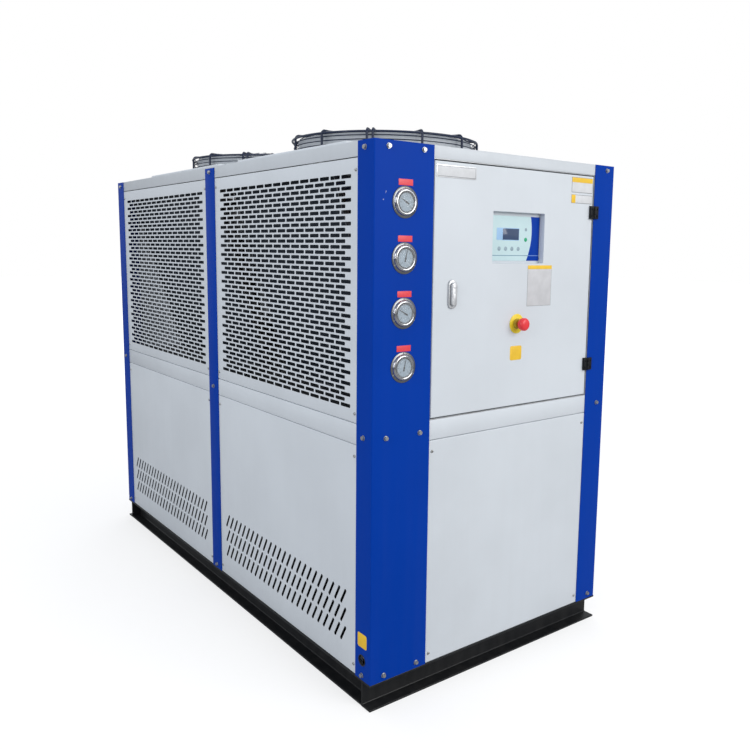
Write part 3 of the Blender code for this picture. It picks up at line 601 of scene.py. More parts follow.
def make_materials(props):
    """Mixes every finish once, from the panel's colours."""
    shades = {
        "white": powder_coat("white_enamel", props.white, 0.42, 0.16, 0.06),
        "cool_white": powder_coat("roof_white_enamel", scaled(props.white, 0.91), 0.46, 0.16, 0.18),
        "blue": post_blue(props),
        "black": powder_coat("black_paint", props.black, 0.30, 0.10, 0.04, 0.34),
        # Inner face and cut edges of the punched panels: near-black painted shade of the cabinet's inside,
        # where the real sheet is white
        "inside": powder_coat("panel_inside_shaded", props.inside, 0.70, 0.20, 0.20, 0.2),
        "zinc": brushed("galvanised_steel", (0.56, 0.57, 0.58), 0.42, 2),
        # Coil deck: galvanised steel darkened as painted shade of the cabinet's inside
        "zinc_shaded": brushed("deck_steel_shaded", (0.16, 0.165, 0.17), 0.55, 1),
        "bolt": brushed("zinc_plated", (0.50, 0.50, 0.485), 0.30, 1, 0.05),
        "chrome": polished("chrome", (0.47, 0.475, 0.49), 0.13),
        "satin": polished("stainless_flange", (0.21, 0.215, 0.22), 0.30),
        "latch": brushed("latch_plating", (0.62, 0.63, 0.65), 0.46, 2, 0.03),
        "wire": powder_coat("guard_wire", props.wire, 0.34, 0.10, 0.06, 0.35),
        "rotor": powder_coat("fan_black", (0.022, 0.023, 0.026), 0.45, 0.25, 0.5),
        "motor": powder_coat("motor_grey", (0.045, 0.048, 0.055), 0.40, 0.30, 0.3),
        "fins": coil_fins(props),
        # Copper hairpins darkened nearly to black as painted shade of the cabinet's inside
        "copper": brushed("hairpin_tube_shaded", (0.045, 0.038, 0.036), 0.42, 1, 0.08),
        "red": moulded("red_plastic", (0.80, 0.035, 0.045), 0.34),
        "yellow": moulded("yellow_plastic", (0.86, 0.66, 0.02), 0.42),
        "gold": moulded("yellow_band", (0.88, 0.55, 0.03), 0.45, 0.05),
        "label_red": moulded("red_label", (0.80, 0.055, 0.075), 0.40, 0.05),
        "rubber": moulded("black_rubber", (0.018, 0.018, 0.020), 0.55, 0.15),
        # The stop's collar: its yellow plastic darkened as painted shade under the mushroom head
        "collar": moulded("yellow_plastic_shaded", (0.42, 0.30, 0.015), 0.42, 0.10),
        "hinge": powder_coat("hinge_black", (0.006, 0.007, 0.009), 0.45, 0.30, 0.05, 0.18),
        "screen": moulded("screen_glass", (0.055, 0.085, 0.165), 0.12, 0.0),
        "key": moulded("key_grey", (0.30, 0.40, 0.46), 0.45, 0.08),
        "key_green": moulded("key_green", (0.005, 0.36, 0.16), 0.40, 0.08),
        "strip": moulded("key_strip", (0.34, 0.56, 0.83), 0.42, 0.05),
        "paper": moulded("blank_label", (0.68, 0.69, 0.71), 0.55, 0.05),
        "notice": moulded("blank_notice", (0.59, 0.59, 0.61), 0.55, 0.05),
        "paper_edge": moulded("notice_edge", (0.40, 0.41, 0.43), 0.55, 0.05),
        "edge": moulded("label_edge", (0.22, 0.23, 0.25), 0.55, 0.05),
        "badge": brushed("badge_plate", (0.72, 0.73, 0.75), 0.38, 0, 0.10),
        "dial": moulded("dial_face", (0.31, 0.39, 0.46), 0.50, 0.03),
        "ink": moulded("dial_ink", (0.010, 0.010, 0.013), 0.50, 0.0),
        "glass": glass("gauge_glass"),
        "film": control_film(props),
    }
    for name, shade in shades.items():
        MATERIALS[name] = shade.material


# pieces


def bent_sheet(corners, radius, thickness, low, high, arc=6):
    """A folded sheet standing on end: the outer line through the corners turns on arcs of the radius,
    the inner line lies a thickness to its left, and the outline is carried from low to high."""
    corners = [np.array(c, float) for c in corners]
    line, left = [], []

    def normal(step):
        """The unit direction to the left of a step."""
        step = step / np.linalg.norm(step)
        return np.array([-step[1], step[0]])

    line.append(corners[0])
    left.append(normal(corners[1] - corners[0]))
    for before, here, after in zip(corners, corners[1:], corners[2:]):
        first, second = here - before, after - here
        n1, n2 = normal(first), normal(second)
        centre = here + radius * (n1 + n2)
        a1 = math.atan2(-n1[1], -n1[0])
        a2 = math.atan2(-n2[1], -n2[0])
        sweep = (a2 - a1 + math.pi) % (2 * math.pi) - math.pi
        for step in range(arc + 1):
            angle = a1 + sweep * step / arc
            out = np.array([math.cos(angle), math.sin(angle)])
            line.append(centre + radius * out)
            left.append(-out)
    line.append(corners[-1])
    left.append(normal(corners[-1] - corners[-2]))
    line, left = np.array(line), np.array(left)
    inner = line + left * thickness
    outline = np.concatenate([line, inner[::-1]])
    heights = np.array([low, high])
    points = np.concatenate([np.column_stack([outline, np.full(len(outline), h)]) for h in heights])
    faces = grid_faces(2, len(outline), True).tolist()
    n = len(line)
    for base in (0, len(outline)):
        for i in range(n - 1):
            faces.append([base + i, base + i + 1, base + 2 * n - 2 - i, base + 2 * n - 1 - i])
    return points, faces


def drill(piece, start, axis, radius, length, sides=40):
    """Cuts a round hole by an exact Boolean, and removes the tool."""
    points, faces = tube([start, np.asarray(start) + np.asarray(axis) * length], radius, sides)
    mesh = bpy.data.meshes.new("hole")
    mesh.from_pydata(points.tolist(), [], faces)
    work = bmesh.new()
    work.from_mesh(mesh)
    bmesh.ops.recalc_face_normals(work, faces=work.faces)
    work.to_mesh(mesh)
    work.free()
    tool = bpy.data.objects.new("hole", mesh)
    bpy.context.scene.collection.objects.link(tool)
    cutter = piece.modifiers.new("hole", "BOOLEAN")
    cutter.object = tool
    cutter.solver = "EXACT"
    settle(piece)
    bpy.data.objects.remove(tool)
    return piece


def make_posts(props):
    """Corner posts: two faces on a bend, the long face across the end; middle posts: a plate with a
    turned rim. The near post has the cable's hole with its grommet."""
    hole_from_front, hole_height, hole_radius = 0.041, 0.060, 0.016
    for name in ("front_left_post", "front_right_post", "rear_left_post", "rear_right_post"):
        low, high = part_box(name)
        left = "left" in name
        front = "front" in name
        end_x, side_y = (high.x if left else low.x), (high.y if front else low.y)
        x0, y0 = (LEFT if left else RIGHT), (FRONT if front else REAR)
        corners = [(x0, side_y), (x0, y0), (end_x, y0)]
        if left != front:
            corners.reverse()
        points, faces = bent_sheet(corners, props.bend, props.sheet, low.z, high.z)
        piece = mesh_piece(name + "_shell", points, faces, "cabinet", "blue_enamel", "blue", 30)
        if left and front:
            reach = 0.01
            start = side_point(-1, hole_from_front, hole_height, reach)
            drill(piece, start, (1, 0, 0), hole_radius, 2 * reach)
            smooth(piece)
        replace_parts(piece, name)
    for name in ("left_middle_post", "right_middle_post"):
        softened_node(name, 0.0007, "blue", 3)
    rim = [(0.0166, 0.0003), (0.0170, 0.0009), (0.0164, 0.0014), (0.0150, 0.0012), (0.0146, 0.0004),
           (0.0146, -0.0045), (0.0156, -0.0045), (0.0156, 0.0003), (0.0166, 0.0003)]
    points, faces = lathe(rim, side_point(-1, hole_from_front, hole_height), (-1, 0, 0), 40)
    mesh_piece("cable_grommet", points, faces, "cabinet", "black_paint", "rubber")


def slot_outline(length, width, corner, angle):
    """Sixteen points of a slot with rounded corners, from the middle of its first end and round clockwise."""
    half = np.array([length / 2, width / 2])
    inner = half - corner
    diagonal = corner * math.sqrt(0.5)
    quarter = [(-half[0], 0.0), (-inner[0] - diagonal, inner[1] + diagonal), (-inner[0], half[1])]
    along = [(inner[0] * t, half[1]) for t in (-0.5, 0.0, 0.5)]
    upper = quarter + along + [(-x, y) for x, y in quarter[:0:-1]]
    points = np.array(upper + [(-x, -y) for x, y in upper])
    turn = np.array([[math.cos(angle), math.sin(angle)], [-math.sin(angle), math.cos(angle)]])
    return points @ turn


def cell_outline(width, height):
    """Sixteen points round a cell, from its top left corner clockwise, at quarter steps."""
    t = np.array([0, 0.25, 0.5, 0.75])
    w, h = width / 2, height / 2
    return np.concatenate([
        np.column_stack([-w + t * width, np.full(4, h)]), np.column_stack([np.full(4, w), h - t * height]),
        np.column_stack([w - t * width, np.full(4, -h)]), np.column_stack([np.full(4, -w), -h + t * height]),
    ])


def patch(xs, ys):
    """Flat quads between lists of x and y."""
    x, y = np.meshgrid(xs, ys)
    return np.stack([x, y], -1).reshape(-1, 2), grid_faces(len(ys), len(xs))


def punched_sheet(width, height, columns, rows, pitch, first, slot, shift, stagger):
    """A flat sheet with its corner at 0, punched by slots: each slot is joined to its own cell by a ring
    of quads, staggered rows end in plain half cells, and plain strips fill up to the edges.
    first is the centre of the first slot of the top row, counted from the sheet's low left corner."""
    px, pz = pitch
    cell = cell_outline(px, pz)
    hole = np.roll(slot, shift, 0)
    ring = grid_faces(2, 16, True)
    parts = []
    left = first[0] - px / 2
    top = first[1] + pz / 2
    for row in range(rows):
        offset = stagger and row % 2 == 1
        count = columns - 1 if offset else columns
        shift_x = 0.5 if offset else 0.0
        centres = np.column_stack([
            first[0] + (np.arange(count) + shift_x) * px, np.full(count, first[1] - row * pz)])
        for centre in centres:
            parts.append((np.concatenate([cell + centre, hole + centre]), ring))
        if offset:
            ys = np.linspace(-pz / 2, pz / 2, 5) + first[1] - row * pz
            for start in (left, left + (columns - 0.5) * px):
                parts.append(patch(start + np.linspace(0, px / 2, 3), ys))
    right, bottom = left + columns * px, top - rows * pz
    ys = np.linspace(bottom, top, rows * 4 + 1)
    xs = np.linspace(left, right, columns * 4 + 1)
    parts.append(patch([0, left], ys))
    parts.append(patch([right, width], ys))
    parts.append(patch(np.concatenate([[0], xs, [width]]), [0, bottom]))
    parts.append(patch(np.concatenate([[0], xs, [width]]), [top, height]))
    points, faces = joined([(np.column_stack([p, np.zeros(len(p))]), f) for p, f in parts])
    return points, faces, xs, ys


def punched_panel(node, side, columns, rows, pitch, first, slot, shift, stagger, props):
    """A punched sheet on a side's panel plane, with its four edges folded inward as at the press brake."""
    low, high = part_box(node)
    width, height = high.y - low.y, high.z - low.z
    depth = high.x - low.x
    points, faces, xs, ys = punched_sheet(
        width, height, columns, rows, pitch, (first[0] - low.y, first[1] - low.z), slot, shift, stagger)
    xs = np.concatenate([[0], xs, [width]])
    ys = np.concatenate([[0], ys, [height]])
    bend = props.panel_bend
    arc = np.linspace(0, math.pi / 2, 4)
    inset = bend * (1 - np.sin(arc))
    drop = bend * (1 - np.cos(arc))
    edge = np.concatenate([np.column_stack([inset, drop]), [[0.0, depth]]])
    squeeze = np.array([bend, bend])
    flat = np.asarray(points)[:, :2]
    size = np.array([width, height])
    flat = np.where(flat <= 0, squeeze, np.where(flat >= size, size - squeeze, flat))
    parts = [(np.column_stack([flat, np.zeros(len(flat))]), faces)]
    xs = np.clip(xs, bend, width - bend)
    ys = np.clip(ys, bend, height - bend)
    for low_side in (True, False):
        for along, limit, axis in ((ys, width, 0), (xs, height, 1)):
            where, back = np.meshgrid(along, edge[:, 0])
            deep = np.repeat(edge[:, 1][:, None], len(along), 1)
            place = back if low_side else limit - back
            pair = (place, where) if axis == 0 else (where, place)
            parts.append((np.stack([*pair, deep], -1).reshape(-1, 3), grid_faces(len(edge), len(along))))
    points, faces = joined(parts)
    face_x = low.x if side < 0 else high.x
    world = np.column_stack([
        face_x - side * points[:, 2], low.y + points[:, 0], low.z + points[:, 1]])
    piece = mesh_piece(node + "_sheet", world, faces, "cabinet", "white_enamel", "white", 30)
    face = max(piece.data.polygons, key=lambda p: -abs(p.center.x - face_x) - abs(abs(p.normal.x) - 1))
    if face.normal.x * side < 0:
        piece.data.flip_normals()
    # The inner face and the slots' cut edges are painted dark as shade, so the slots read dark
    thicken(piece, props.panel_sheet, shade_finish="inside")
    smooth(piece)
    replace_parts(piece, node)


def make_grilles(props):
    """Upper side panels: staggered rows of long round-ended slots."""
    columns, pitch, top_row = 15, (0.0554, 0.0157), BASE_TOP + 1.4114
    slot = slot_outline(props.slot_length, props.slot_height, 0.0030, 0.0)
    for side, side_name in ((-1, "left"), (1, "right")):
        for bay, start in (("front", 0.1330), ("rear", 1.1076)):
            node = f"{side_name}_{bay}_grille"
            first = (FRONT + start, top_row)
            punched_panel(node, side, columns, props.slot_rows, pitch, first, slot, -2, True, props)


def make_vents(props):
    """Lower side panels: three rows of short slots that lean, lower ends to the rear."""
    columns, rows, pitch, top_row = 25, 3, (0.0322, 0.0570), BASE_TOP + 0.2145
    lean = math.atan2(0.0424, 0.0238)
    slot = slot_outline(0.0556, props.vent_width, props.vent_width * 0.4, -lean)
    for side, side_name in ((-1, "left"), (1, "right")):
        for bay, start in (("front", 0.1415), ("rear", 1.1157)):
            node = f"{side_name}_{bay}_lower_panel"
            first = (FRONT + start, top_row)
            punched_panel(node, side, columns, rows, pitch, first, slot, 0, False, props)


def folded_panel(name, node, across, up, out, face, props, body="cabinet", well=None, taller=0.0):
    """A panel folded all round: outlines shrink from the back of the fold over a bend to the flat, and
    then either close in a flat face or go on to a second outline and down into a well. taller narrows
    the seams over and under it."""
    low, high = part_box(node)
    size = high - low
    width, height, depth = size.x, size.z + 2 * taller, size.y
    centre = halfway(low, high)
    centre[1] = face
    bend = props.panel_bend
    basis = (centre, across, up, out)
    rings = []

    def outline(inset, depth):
        """The panel's outline, drawn in by an inset at a depth; its corners stay sound at any inset."""
        corner, least = 0.0012, 0.0003
        flat, _ = rounded_loop(width - 2 * inset, height - 2 * inset, max(corner - inset, least), 3, 8)
        rings.append(placed(flat, -depth, *basis))

    outline(0.0, depth)
    for turn in QUARTER:
        outline(bend * (1 - math.cos(turn)), bend * (1 - math.sin(turn)))
    outline(bend + 0.0010, 0.0)
    if well is None:
        points, faces = ringed(rings)
    else:
        x, z, w, h, radius, deep = well
        inner, inward = rounded_loop(w, h, radius, 3, 8)
        inner = inner + np.array([x - centre[0], z - centre[2]])
        step = 0.0016
        rings.append(placed(inner + inward * (step + 0.0008), 0.0, *basis))
        for turn in QUARTER:
            lip = inner + inward * step * (1 - math.sin(turn))
            rings.append(placed(lip, -step * (1 - math.cos(turn)), *basis))
        rings.append(placed(inner, -deep, *basis))
        points, faces = ringed(rings, False)
    piece = mesh_piece(name, points, faces, body, "white_enamel", "white", 30)
    level, close = 0.99, 1e-4
    near = max(
        piece.data.polygons,
        key=lambda p: (abs(p.normal.y) > level and abs(p.center.y - face) < close, p.area))
    if near.normal.y * out[1] < 0:
        piece.data.flip_normals()
    thicken(piece, props.panel_sheet)
    smooth(piece)
    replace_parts(piece, node)


def make_end_panels(props):
    """The plain panels below the door and at the rear, and the door with its well. A well's numbers are
    its middle's x and z, width, height, corner radius and depth."""
    folded_panel("front_lower_sheet", "front_lower_panel", *FRONTWARD, FACE, props)
    for node in ("rear_lower_panel", "rear_upper_panel"):
        folded_panel(node + "_sheet", node, *REARWARD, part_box(node)[1].y, props)
    well = (LEFT + 0.5415, BASE_TOP + 1.257, 0.221, 0.152, 0.003, 0.0207)
    folded_panel("door_sheet", "control_door", *FRONTWARD, FACE, props, "control_door", well, 0.0020)


def channel_outline(depth, height, web, lip, corner, fillet, steps=4):
    """Outline of a channel, outward distance against height: each right angle turns on a quarter circle."""
    line = []
    shape = (
        ((0, 0), corner), ((depth, 0), corner), ((depth, lip), corner), ((web, lip), fillet),
        ((web, height - lip), fillet), ((depth, height - lip), corner), ((depth, height), corner),
        ((0, height), corner))
    for i, (here, radius) in enumerate(shape):
        here = np.array(here, float)
        before, after = np.array(shape[i - 1][0]) - here, np.array(shape[(i + 1) % len(shape)][0]) - here
        before, after = before / np.linalg.norm(before), after / np.linalg.norm(after)
        for turn in np.linspace(0, math.pi / 2, steps + 1):
            line.append(here + radius * (before + after - after * math.cos(turn) - before * math.sin(turn)))
    return np.array(line)


def make_base(props):
    """Base of four rolled channels that open outward; the end ones run the full width."""
    low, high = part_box("base_frame")
    inner, web, lip, corner, fillet = 0.043, 0.005, 0.006, 0.0014, 0.0032
    line = channel_outline(inner, high.z - low.z, web, lip, corner, fillet)
    parts = []
    for start, end, out in (
        ((low.x, low.y + inner), (high.x, low.y + inner), (0, -1)),
        ((low.x, high.y - inner), (high.x, high.y - inner), (0, 1)),
        ((low.x + inner, low.y + inner), (low.x + inner, high.y - inner), (-1, 0)),
        ((high.x - inner, low.y + inner), (high.x - inner, high.y - inner), (1, 0)),
    ):
        points = np.concatenate([
            np.column_stack([x + line[:, :1] * out[0], y + line[:, :1] * out[1], low.z + line[:, 1:]])
            for x, y in (start, end)])
        faces = grid_faces(2, len(line), True).tolist()
        faces.append(list(range(len(line)))[::-1])
        faces.append(list(range(len(line), 2 * len(line))))
        parts.append((points, faces))
    points, faces = joined(parts)
    piece = mesh_piece("base_channels", points, faces, "cabinet", "black_paint", "black", 30, 1e-7)
    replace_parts(piece, "base_frame")


def make_softened(props):
    """Rail, roof and inner sheets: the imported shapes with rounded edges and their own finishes."""
    for node, width, finish, slot in (
        ("floor_sheet", 0.0005, "black", "black_paint"),
        ("middle_rail", 0.0010, "white", "white_enamel"),
        ("roof", 0.0009, "cool_white", "white_enamel"),
        ("electrical_box", 0.0006, "zinc", "galvanised_steel"),
        # the coil deck takes the darkened zinc, painted shade of the cabinet's inside
        ("coil_deck", 0.0006, "zinc_shaded", "galvanised_steel"),
    ):
        softened_node(node, width, finish)


def make_decks(props):
    """Raised fan plates: a rounded rectangle turns up a cove into the mouth; each mouth has a round collar
    whose section is a thin wall with a rounded top."""
    bend, cove, wall, half_top = 0.004, 0.003, 0.0015, 0.0018
    for name in ("front_fan_deck", "rear_fan_deck"):
        low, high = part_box(name)
        plate = high.z - props.cad_collar
        depth = plate - low.z
        centre = halfway(low, high)
        centre[2] = plate
        basis = (centre, *UPWARD)
        flat, normal = rounded_loop(high.x - low.x, high.y - low.y, 0.006, 4, 24)
        angle = np.arctan2(flat[:, 1], flat[:, 0])
        round_way = np.column_stack([np.cos(angle), np.sin(angle)])
        rings = [placed(flat, -depth, *basis), placed(flat, -bend, *basis)]
        for turn in QUARTER[1:]:
            inset = bend * (1 - math.cos(turn))
            rings.append(placed(flat - normal * inset, -bend * (1 - math.sin(turn)), *basis))
        rings.append(placed(flat - normal * (bend + 0.0008), 0.0, *basis))
        outer = props.mouth + 0.004
        rings.append(placed(round_way * (outer + cove + 0.0010), 0.0, *basis))
        for turn in QUARTER:
            reach = outer + cove * (1 - math.sin(turn))
            rings.append(placed(round_way * reach, cove * (1 - math.cos(turn)), *basis))
        points, faces = ringed(rings, False)
        piece = mesh_piece(name + "_sheet", points, faces, "cabinet", "white_enamel", "cool_white", CREASE)
        top = max(piece.data.polygons, key=lambda p: p.area * (abs(p.normal.z) > 0.99))
        if top.normal.z < 0:
            piece.data.flip_normals()
        thicken(piece, wall)
        smooth(piece)
        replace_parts(piece, name)
        sunk, foot = -0.002, 0.0005 - depth
        section = [(outer, sunk)]
        for turn in np.linspace(0, math.pi, 9):
            section.append((
                outer - half_top * (1 - math.cos(turn)), props.collar - half_top * (1 - math.sin(turn))))
        section += [(outer - 0.0036, foot), (outer - 0.0022, foot), (outer - 0.0016, sunk), section[0]]
        points, faces = lathe(section, centre, (0, 0, 1), 112)
        mesh_piece(name + "_collar", points, faces, "cabinet", "white_enamel", "cool_white", 35, 1e-7)


def arc_path(centre, radius, height, count=120):
    """Points of a level circle about a centre."""
    turn = full_turn(count)
    return np.column_stack([
        centre[0] + radius * np.cos(turn), centre[1] + radius * np.sin(turn), np.full(count, height)])


def make_guards(props):
    """Wire guards: level rings on the inside of bent legs that rise to a pressed centre plate."""
    leg, shoulder, bend = 0.0042, 0.066, 0.012
    hub_rise, hub_radius, hub_thick = 0.025, 0.072, 0.0045
    thin = props.ring_wire
    radius = props.mouth + 0.025
    outer = radius - leg
    upright = np.array([0, 0, 1.0])
    leg_angles = [15 + 30 * i for i in range(12) if i != 7] + [223.6, 226.9]

    def rise_at(reach):
        """Height over the shoulder: flat at the rim and steeper towards the plate."""
        return hub_rise * ((radius - reach) / (radius - hub_radius)) ** 2

    for name in ("front_fan_guard", "rear_fan_guard"):
        low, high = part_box(name)
        centre = ((low.x + high.x) / 2, (low.y + high.y) / 2)
        foot = low.z
        top = foot + shoulder
        parts = []
        for height in np.linspace(0.008, 0.0470, props.side_rings):
            circle = arc_path(centre, outer - props.side_wire, foot + height)
            parts.append(tube(circle, props.side_wire, 8, True))
        for ring in np.linspace(outer - thin - 0.003, 0.083, props.top_rings):
            height = top + rise_at(ring) - leg - thin + 0.0004
            circle = arc_path(centre, ring, height, 112 if ring > 0.2 else 72)
            parts.append(tube(circle, thin, 8, True))
        parts.append(tube(arc_path(centre, radius - 0.0005, top - 0.0085), leg * 0.9, 8, True))
        for angle in np.radians(leg_angles):
            across = np.array([math.cos(angle), math.sin(angle), 0.0])
            reach = [radius, radius]
            rise = [foot - 0.0002, top - 0.013]
            for turn in np.linspace(0.15, math.pi / 2, 6):
                reach.append(radius - bend * (1 - math.cos(turn)))
                rise.append(top - 0.013 + 0.0135 * math.sin(turn))
            for share in np.linspace(0.1, 1, 9):
                here = radius - bend - share * (radius - bend - 0.058)
                reach.append(here)
                rise.append(top + rise_at(here))
            reach, rise = np.array(reach), np.array(rise)
            path = np.array([*centre, 0.0]) + reach[:, None] * across + rise[:, None] * upright
            parts.append(tube_upright(path, leg, across))
        plate = [
            (0, 0), (0.071, 0), (hub_radius, 0.001), (hub_radius, 0.0035), (0.071, hub_thick),
            (0.052, 0.0048), (0.047, 0.0030), (0.018, 0.0030), (0.014, 0.0046), (0, 0.0046)]
        parts.append(lathe(plate, (*centre, top + hub_rise - hub_thick), (0, 0, 1), 56))
        points, faces = joined(parts)
        piece = mesh_piece(name + "_wires", points, faces, "cabinet", "guard_wire", "wire", 50, 1e-7)
        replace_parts(piece, name)
        feet = []
        tab_thick = 0.0022
        for angle in np.radians([15 + 60 * i for i in range(6)]):
            radial = np.array([math.cos(angle), math.sin(angle), 0])
            spot = np.array([centre[0] + radius * radial[0], centre[1] + radius * radial[1], foot])
            basis = (radial, np.cross(upright, radial), upright)
            feet.append(slab(0.026, 0.016, tab_thick, 0.004, 0.0006, spot + radial * 0.009, *basis, 4))
            feet.append(hex_bolt(spot + radial * 0.014 + upright * tab_thick, upright, 0.0055, 0.0042))
        points, faces = joined(feet)
        mesh_piece(name + "_feet", points, faces, "cabinet", "guard_wire", "wire", 35, 1e-7)


def make_fans(props):
    """Fan rotors: a ribbed motor can and swept blades, each a twisted surface over radius and chord."""
    hub, can, groove = 0.066, 0.135, 0.0022
    blades, phase, sweep_angle = 5, math.radians(-12), math.radians(52)
    chord_drop, camber_height, blade_thick, blade_drop = 0.055, 0.006, 0.003, 0.097
    spans, chords = 22, 18
    along, across = np.meshgrid(np.linspace(0, 1, spans), np.linspace(-0.5, 0.5, chords), indexing="ij")
    round_tip = 1 - 0.22 * np.clip((along - 0.8) / 0.2, 0, 1) ** 2
    sweep = sweep_angle * (0.75 + 0.25 * along) * round_tip
    camber = camber_height * (1 - 4 * across * across)
    root, tip = hub - 0.004, props.mouth - 0.008
    radius = root + (tip - root) * along
    for name in ("front_fan", "rear_fan"):
        low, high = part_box(name)
        centre = halfway(low, high)
        centre[2] = 0.0
        top = high.z
        bottom = top - can
        profile = [(0, bottom), (hub - 0.012, bottom), (hub - 0.003, bottom + 0.004), (hub, bottom + 0.012)]
        for rib in bottom + np.arange(0.020, 0.112, 0.008):
            profile += [
                (hub, rib), (hub - groove, rib + 0.0016), (hub - groove, rib + 0.0048), (hub, rib + 0.0064)]
        profile += [(hub, top - 0.010), (hub - 0.004, top - 0.003), (hub - 0.010, top), (0, top)]
        points, faces = lathe(profile, centre, (0, 0, 1), 64)
        mesh_piece(name + "_motor", points, faces, "cabinet", "fan_black", "motor", 35)
        height = top - blade_drop - across * chord_drop * (1 - 0.25 * along) + camber
        parts = []
        for i in range(blades):
            angle = phase + 2 * math.pi * i / blades + across * sweep + 0.35 * along * along
            x, y = centre[0] + radius * np.cos(angle), centre[1] + radius * np.sin(angle)
            points = np.stack([x, y, height], -1)
            parts.append((points.reshape(-1, 3), grid_faces(spans, chords)))
        points, faces = joined(parts)
        piece = mesh_piece(name + "_blades", points, faces, "cabinet", "fan_black", "rotor", 50)
        thicken(piece, blade_thick, 0)
        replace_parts(piece, name)


def make_coils(props):
    """Condenser coils: a finned block between tube sheets and folded flanges, with hairpin bends at its
    ends. A hairpin is half a circle between two tubes."""
    lean, thick = math.radians(17.5), 0.050
    sheet, flange, gap = 0.002, 0.003, 0.0022
    lane, pitch, tube_radius, first_tube = 0.013, 0.0254, 0.0048, 0.03
    half_turn = np.linspace(0, math.pi, 9)
    along = np.array([0, 1.0, 0])
    for name in ("front_left_coil", "front_right_coil", "rear_left_coil", "rear_right_coil"):
        low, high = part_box(name)
        side = -1 if low.x < 0 else 1
        length = (high.z - low.z - thick * math.sin(lean)) / math.cos(lean)
        centre = halfway(low, high)
        up = np.array([side * math.sin(lean), 0, math.cos(lean)])
        out = np.array([side * math.cos(lean), 0, -math.sin(lean)])
        half = np.array([thick / 2, (high.y - low.y) / 2, length / 2])

        def block(a, b, name_end, finish, slot):
            """A box in the coil's own directions out, along and up, with rounded edges."""
            corners = np.array([[x, y, z] for x in (a[0], b[0]) for y in (a[1], b[1]) for z in (a[2], b[2])])
            points = centre + corners[:, :1] * out + corners[:, 1:2] * along + corners[:, 2:] * up
            faces = [[0, 1, 3, 2], [4, 6, 7, 5], [0, 4, 5, 1], [2, 3, 7, 6], [0, 2, 6, 4], [1, 5, 7, 3]]
            return soften(mesh_piece(name + name_end, points, faces, "cabinet", slot, finish, CREASE), 0.0006)

        inner = half - np.array([sheet, flange, flange])
        core = block(-inner, inner, "_fins", "fins", "coil_fins")
        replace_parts(core, name)
        for end, label in ((-1, "front"), (1, "rear")):
            ys = sorted((end * half[1], end * (half[1] - sheet)))
            a, b = (-half[0], ys[0], -half[2]), (half[0], ys[1], half[2])
            block(a, b, f"_{label}_sheet", "zinc", "galvanised_steel")
        for end, label in ((-1, "lower"), (1, "upper")):
            zs = sorted((end * half[2], end * (half[2] - flange)))
            a, b = (-half[0], gap - half[1], zs[0]), (half[0], half[1] - gap, zs[1])
            block(a, b, f"_{label}_flange", "zinc", "galvanised_steel")
        bends = []
        for end in (-1, 1):
            for across in (-lane, lane):
                for i in range(int((length - 0.04) / (2 * pitch))):
                    rise = first_tube - half[2] + i * 2 * pitch + pitch / 2 - pitch / 2 * np.cos(half_turn)
                    reach = end * (half[1] + pitch / 2 * np.sin(half_turn))
                    path = centre + across * out + rise[:, None] * up + reach[:, None] * along
                    bends.append(tube(path, tube_radius))
        points, faces = joined(bends)
        # The hairpins' copper is darkened as painted shade
        mesh_piece(name + "_hairpins", points, faces, "cabinet", "coil_fins", "copper", 50, 1e-7)


HEAD_SIDES = 24


def hex_bolt(place, out, radius, height):
    """A hexagon head with a chamfered top on a round washer; six-sided rings about the bolt's axis."""
    out = np.asarray(out, float)
    ring = spokes(out, HEAD_SIDES)
    sixth = math.pi / 3
    hexagon = math.cos(sixth / 2) / np.cos(full_turn(HEAD_SIDES) % sixth - sixth / 2)
    circle = np.ones(HEAD_SIDES)
    washer = radius * 1.18
    rings = []
    for r, h, shape in (
        (washer, 0.0, circle), (washer, 0.16, circle), (washer * 0.97, 0.2, circle),
        (radius, 0.2, hexagon), (radius, 0.88, hexagon), (radius * 0.86, 1.0, circle),
    ):
        rings.append(place + out * (h * height) + ring * (r * shape)[:, None])
    points, faces = ringed(rings)
    faces.append(list(range(HEAD_SIDES))[::-1])
    return points, faces


def pan_screw(place, out, radius):
    """A domed screw head with a cross recess: its rings of share and rise, in shares of the radius, sink
    on the cross's slots by the third number, and all round by the fourth."""
    out = np.asarray(out, float)
    ring = spokes(out, HEAD_SIDES)
    cross = np.abs(np.cos(2 * full_turn(HEAD_SIDES))) ** 8
    rings = []
    for share, rise, slot, sink in (
        (1, 0, 0, 0), (0.97, 0.22, 0, 0), (0.85, 0.45, 0, 0), (0.6, 0.60, 0, 0),
        (0.42, 0.64, 0.5, 0), (0.36, 0.62, 0.5, 0), (0.08, 0.64, 0, 0.45),
    ):
        depth = rise - sink - slot * cross
        rings.append(place + out * (radius * depth)[:, None] + ring * radius * share)
    points, faces = ringed(rings)
    faces.append(list(range(HEAD_SIDES))[::-1])
    return points, faces


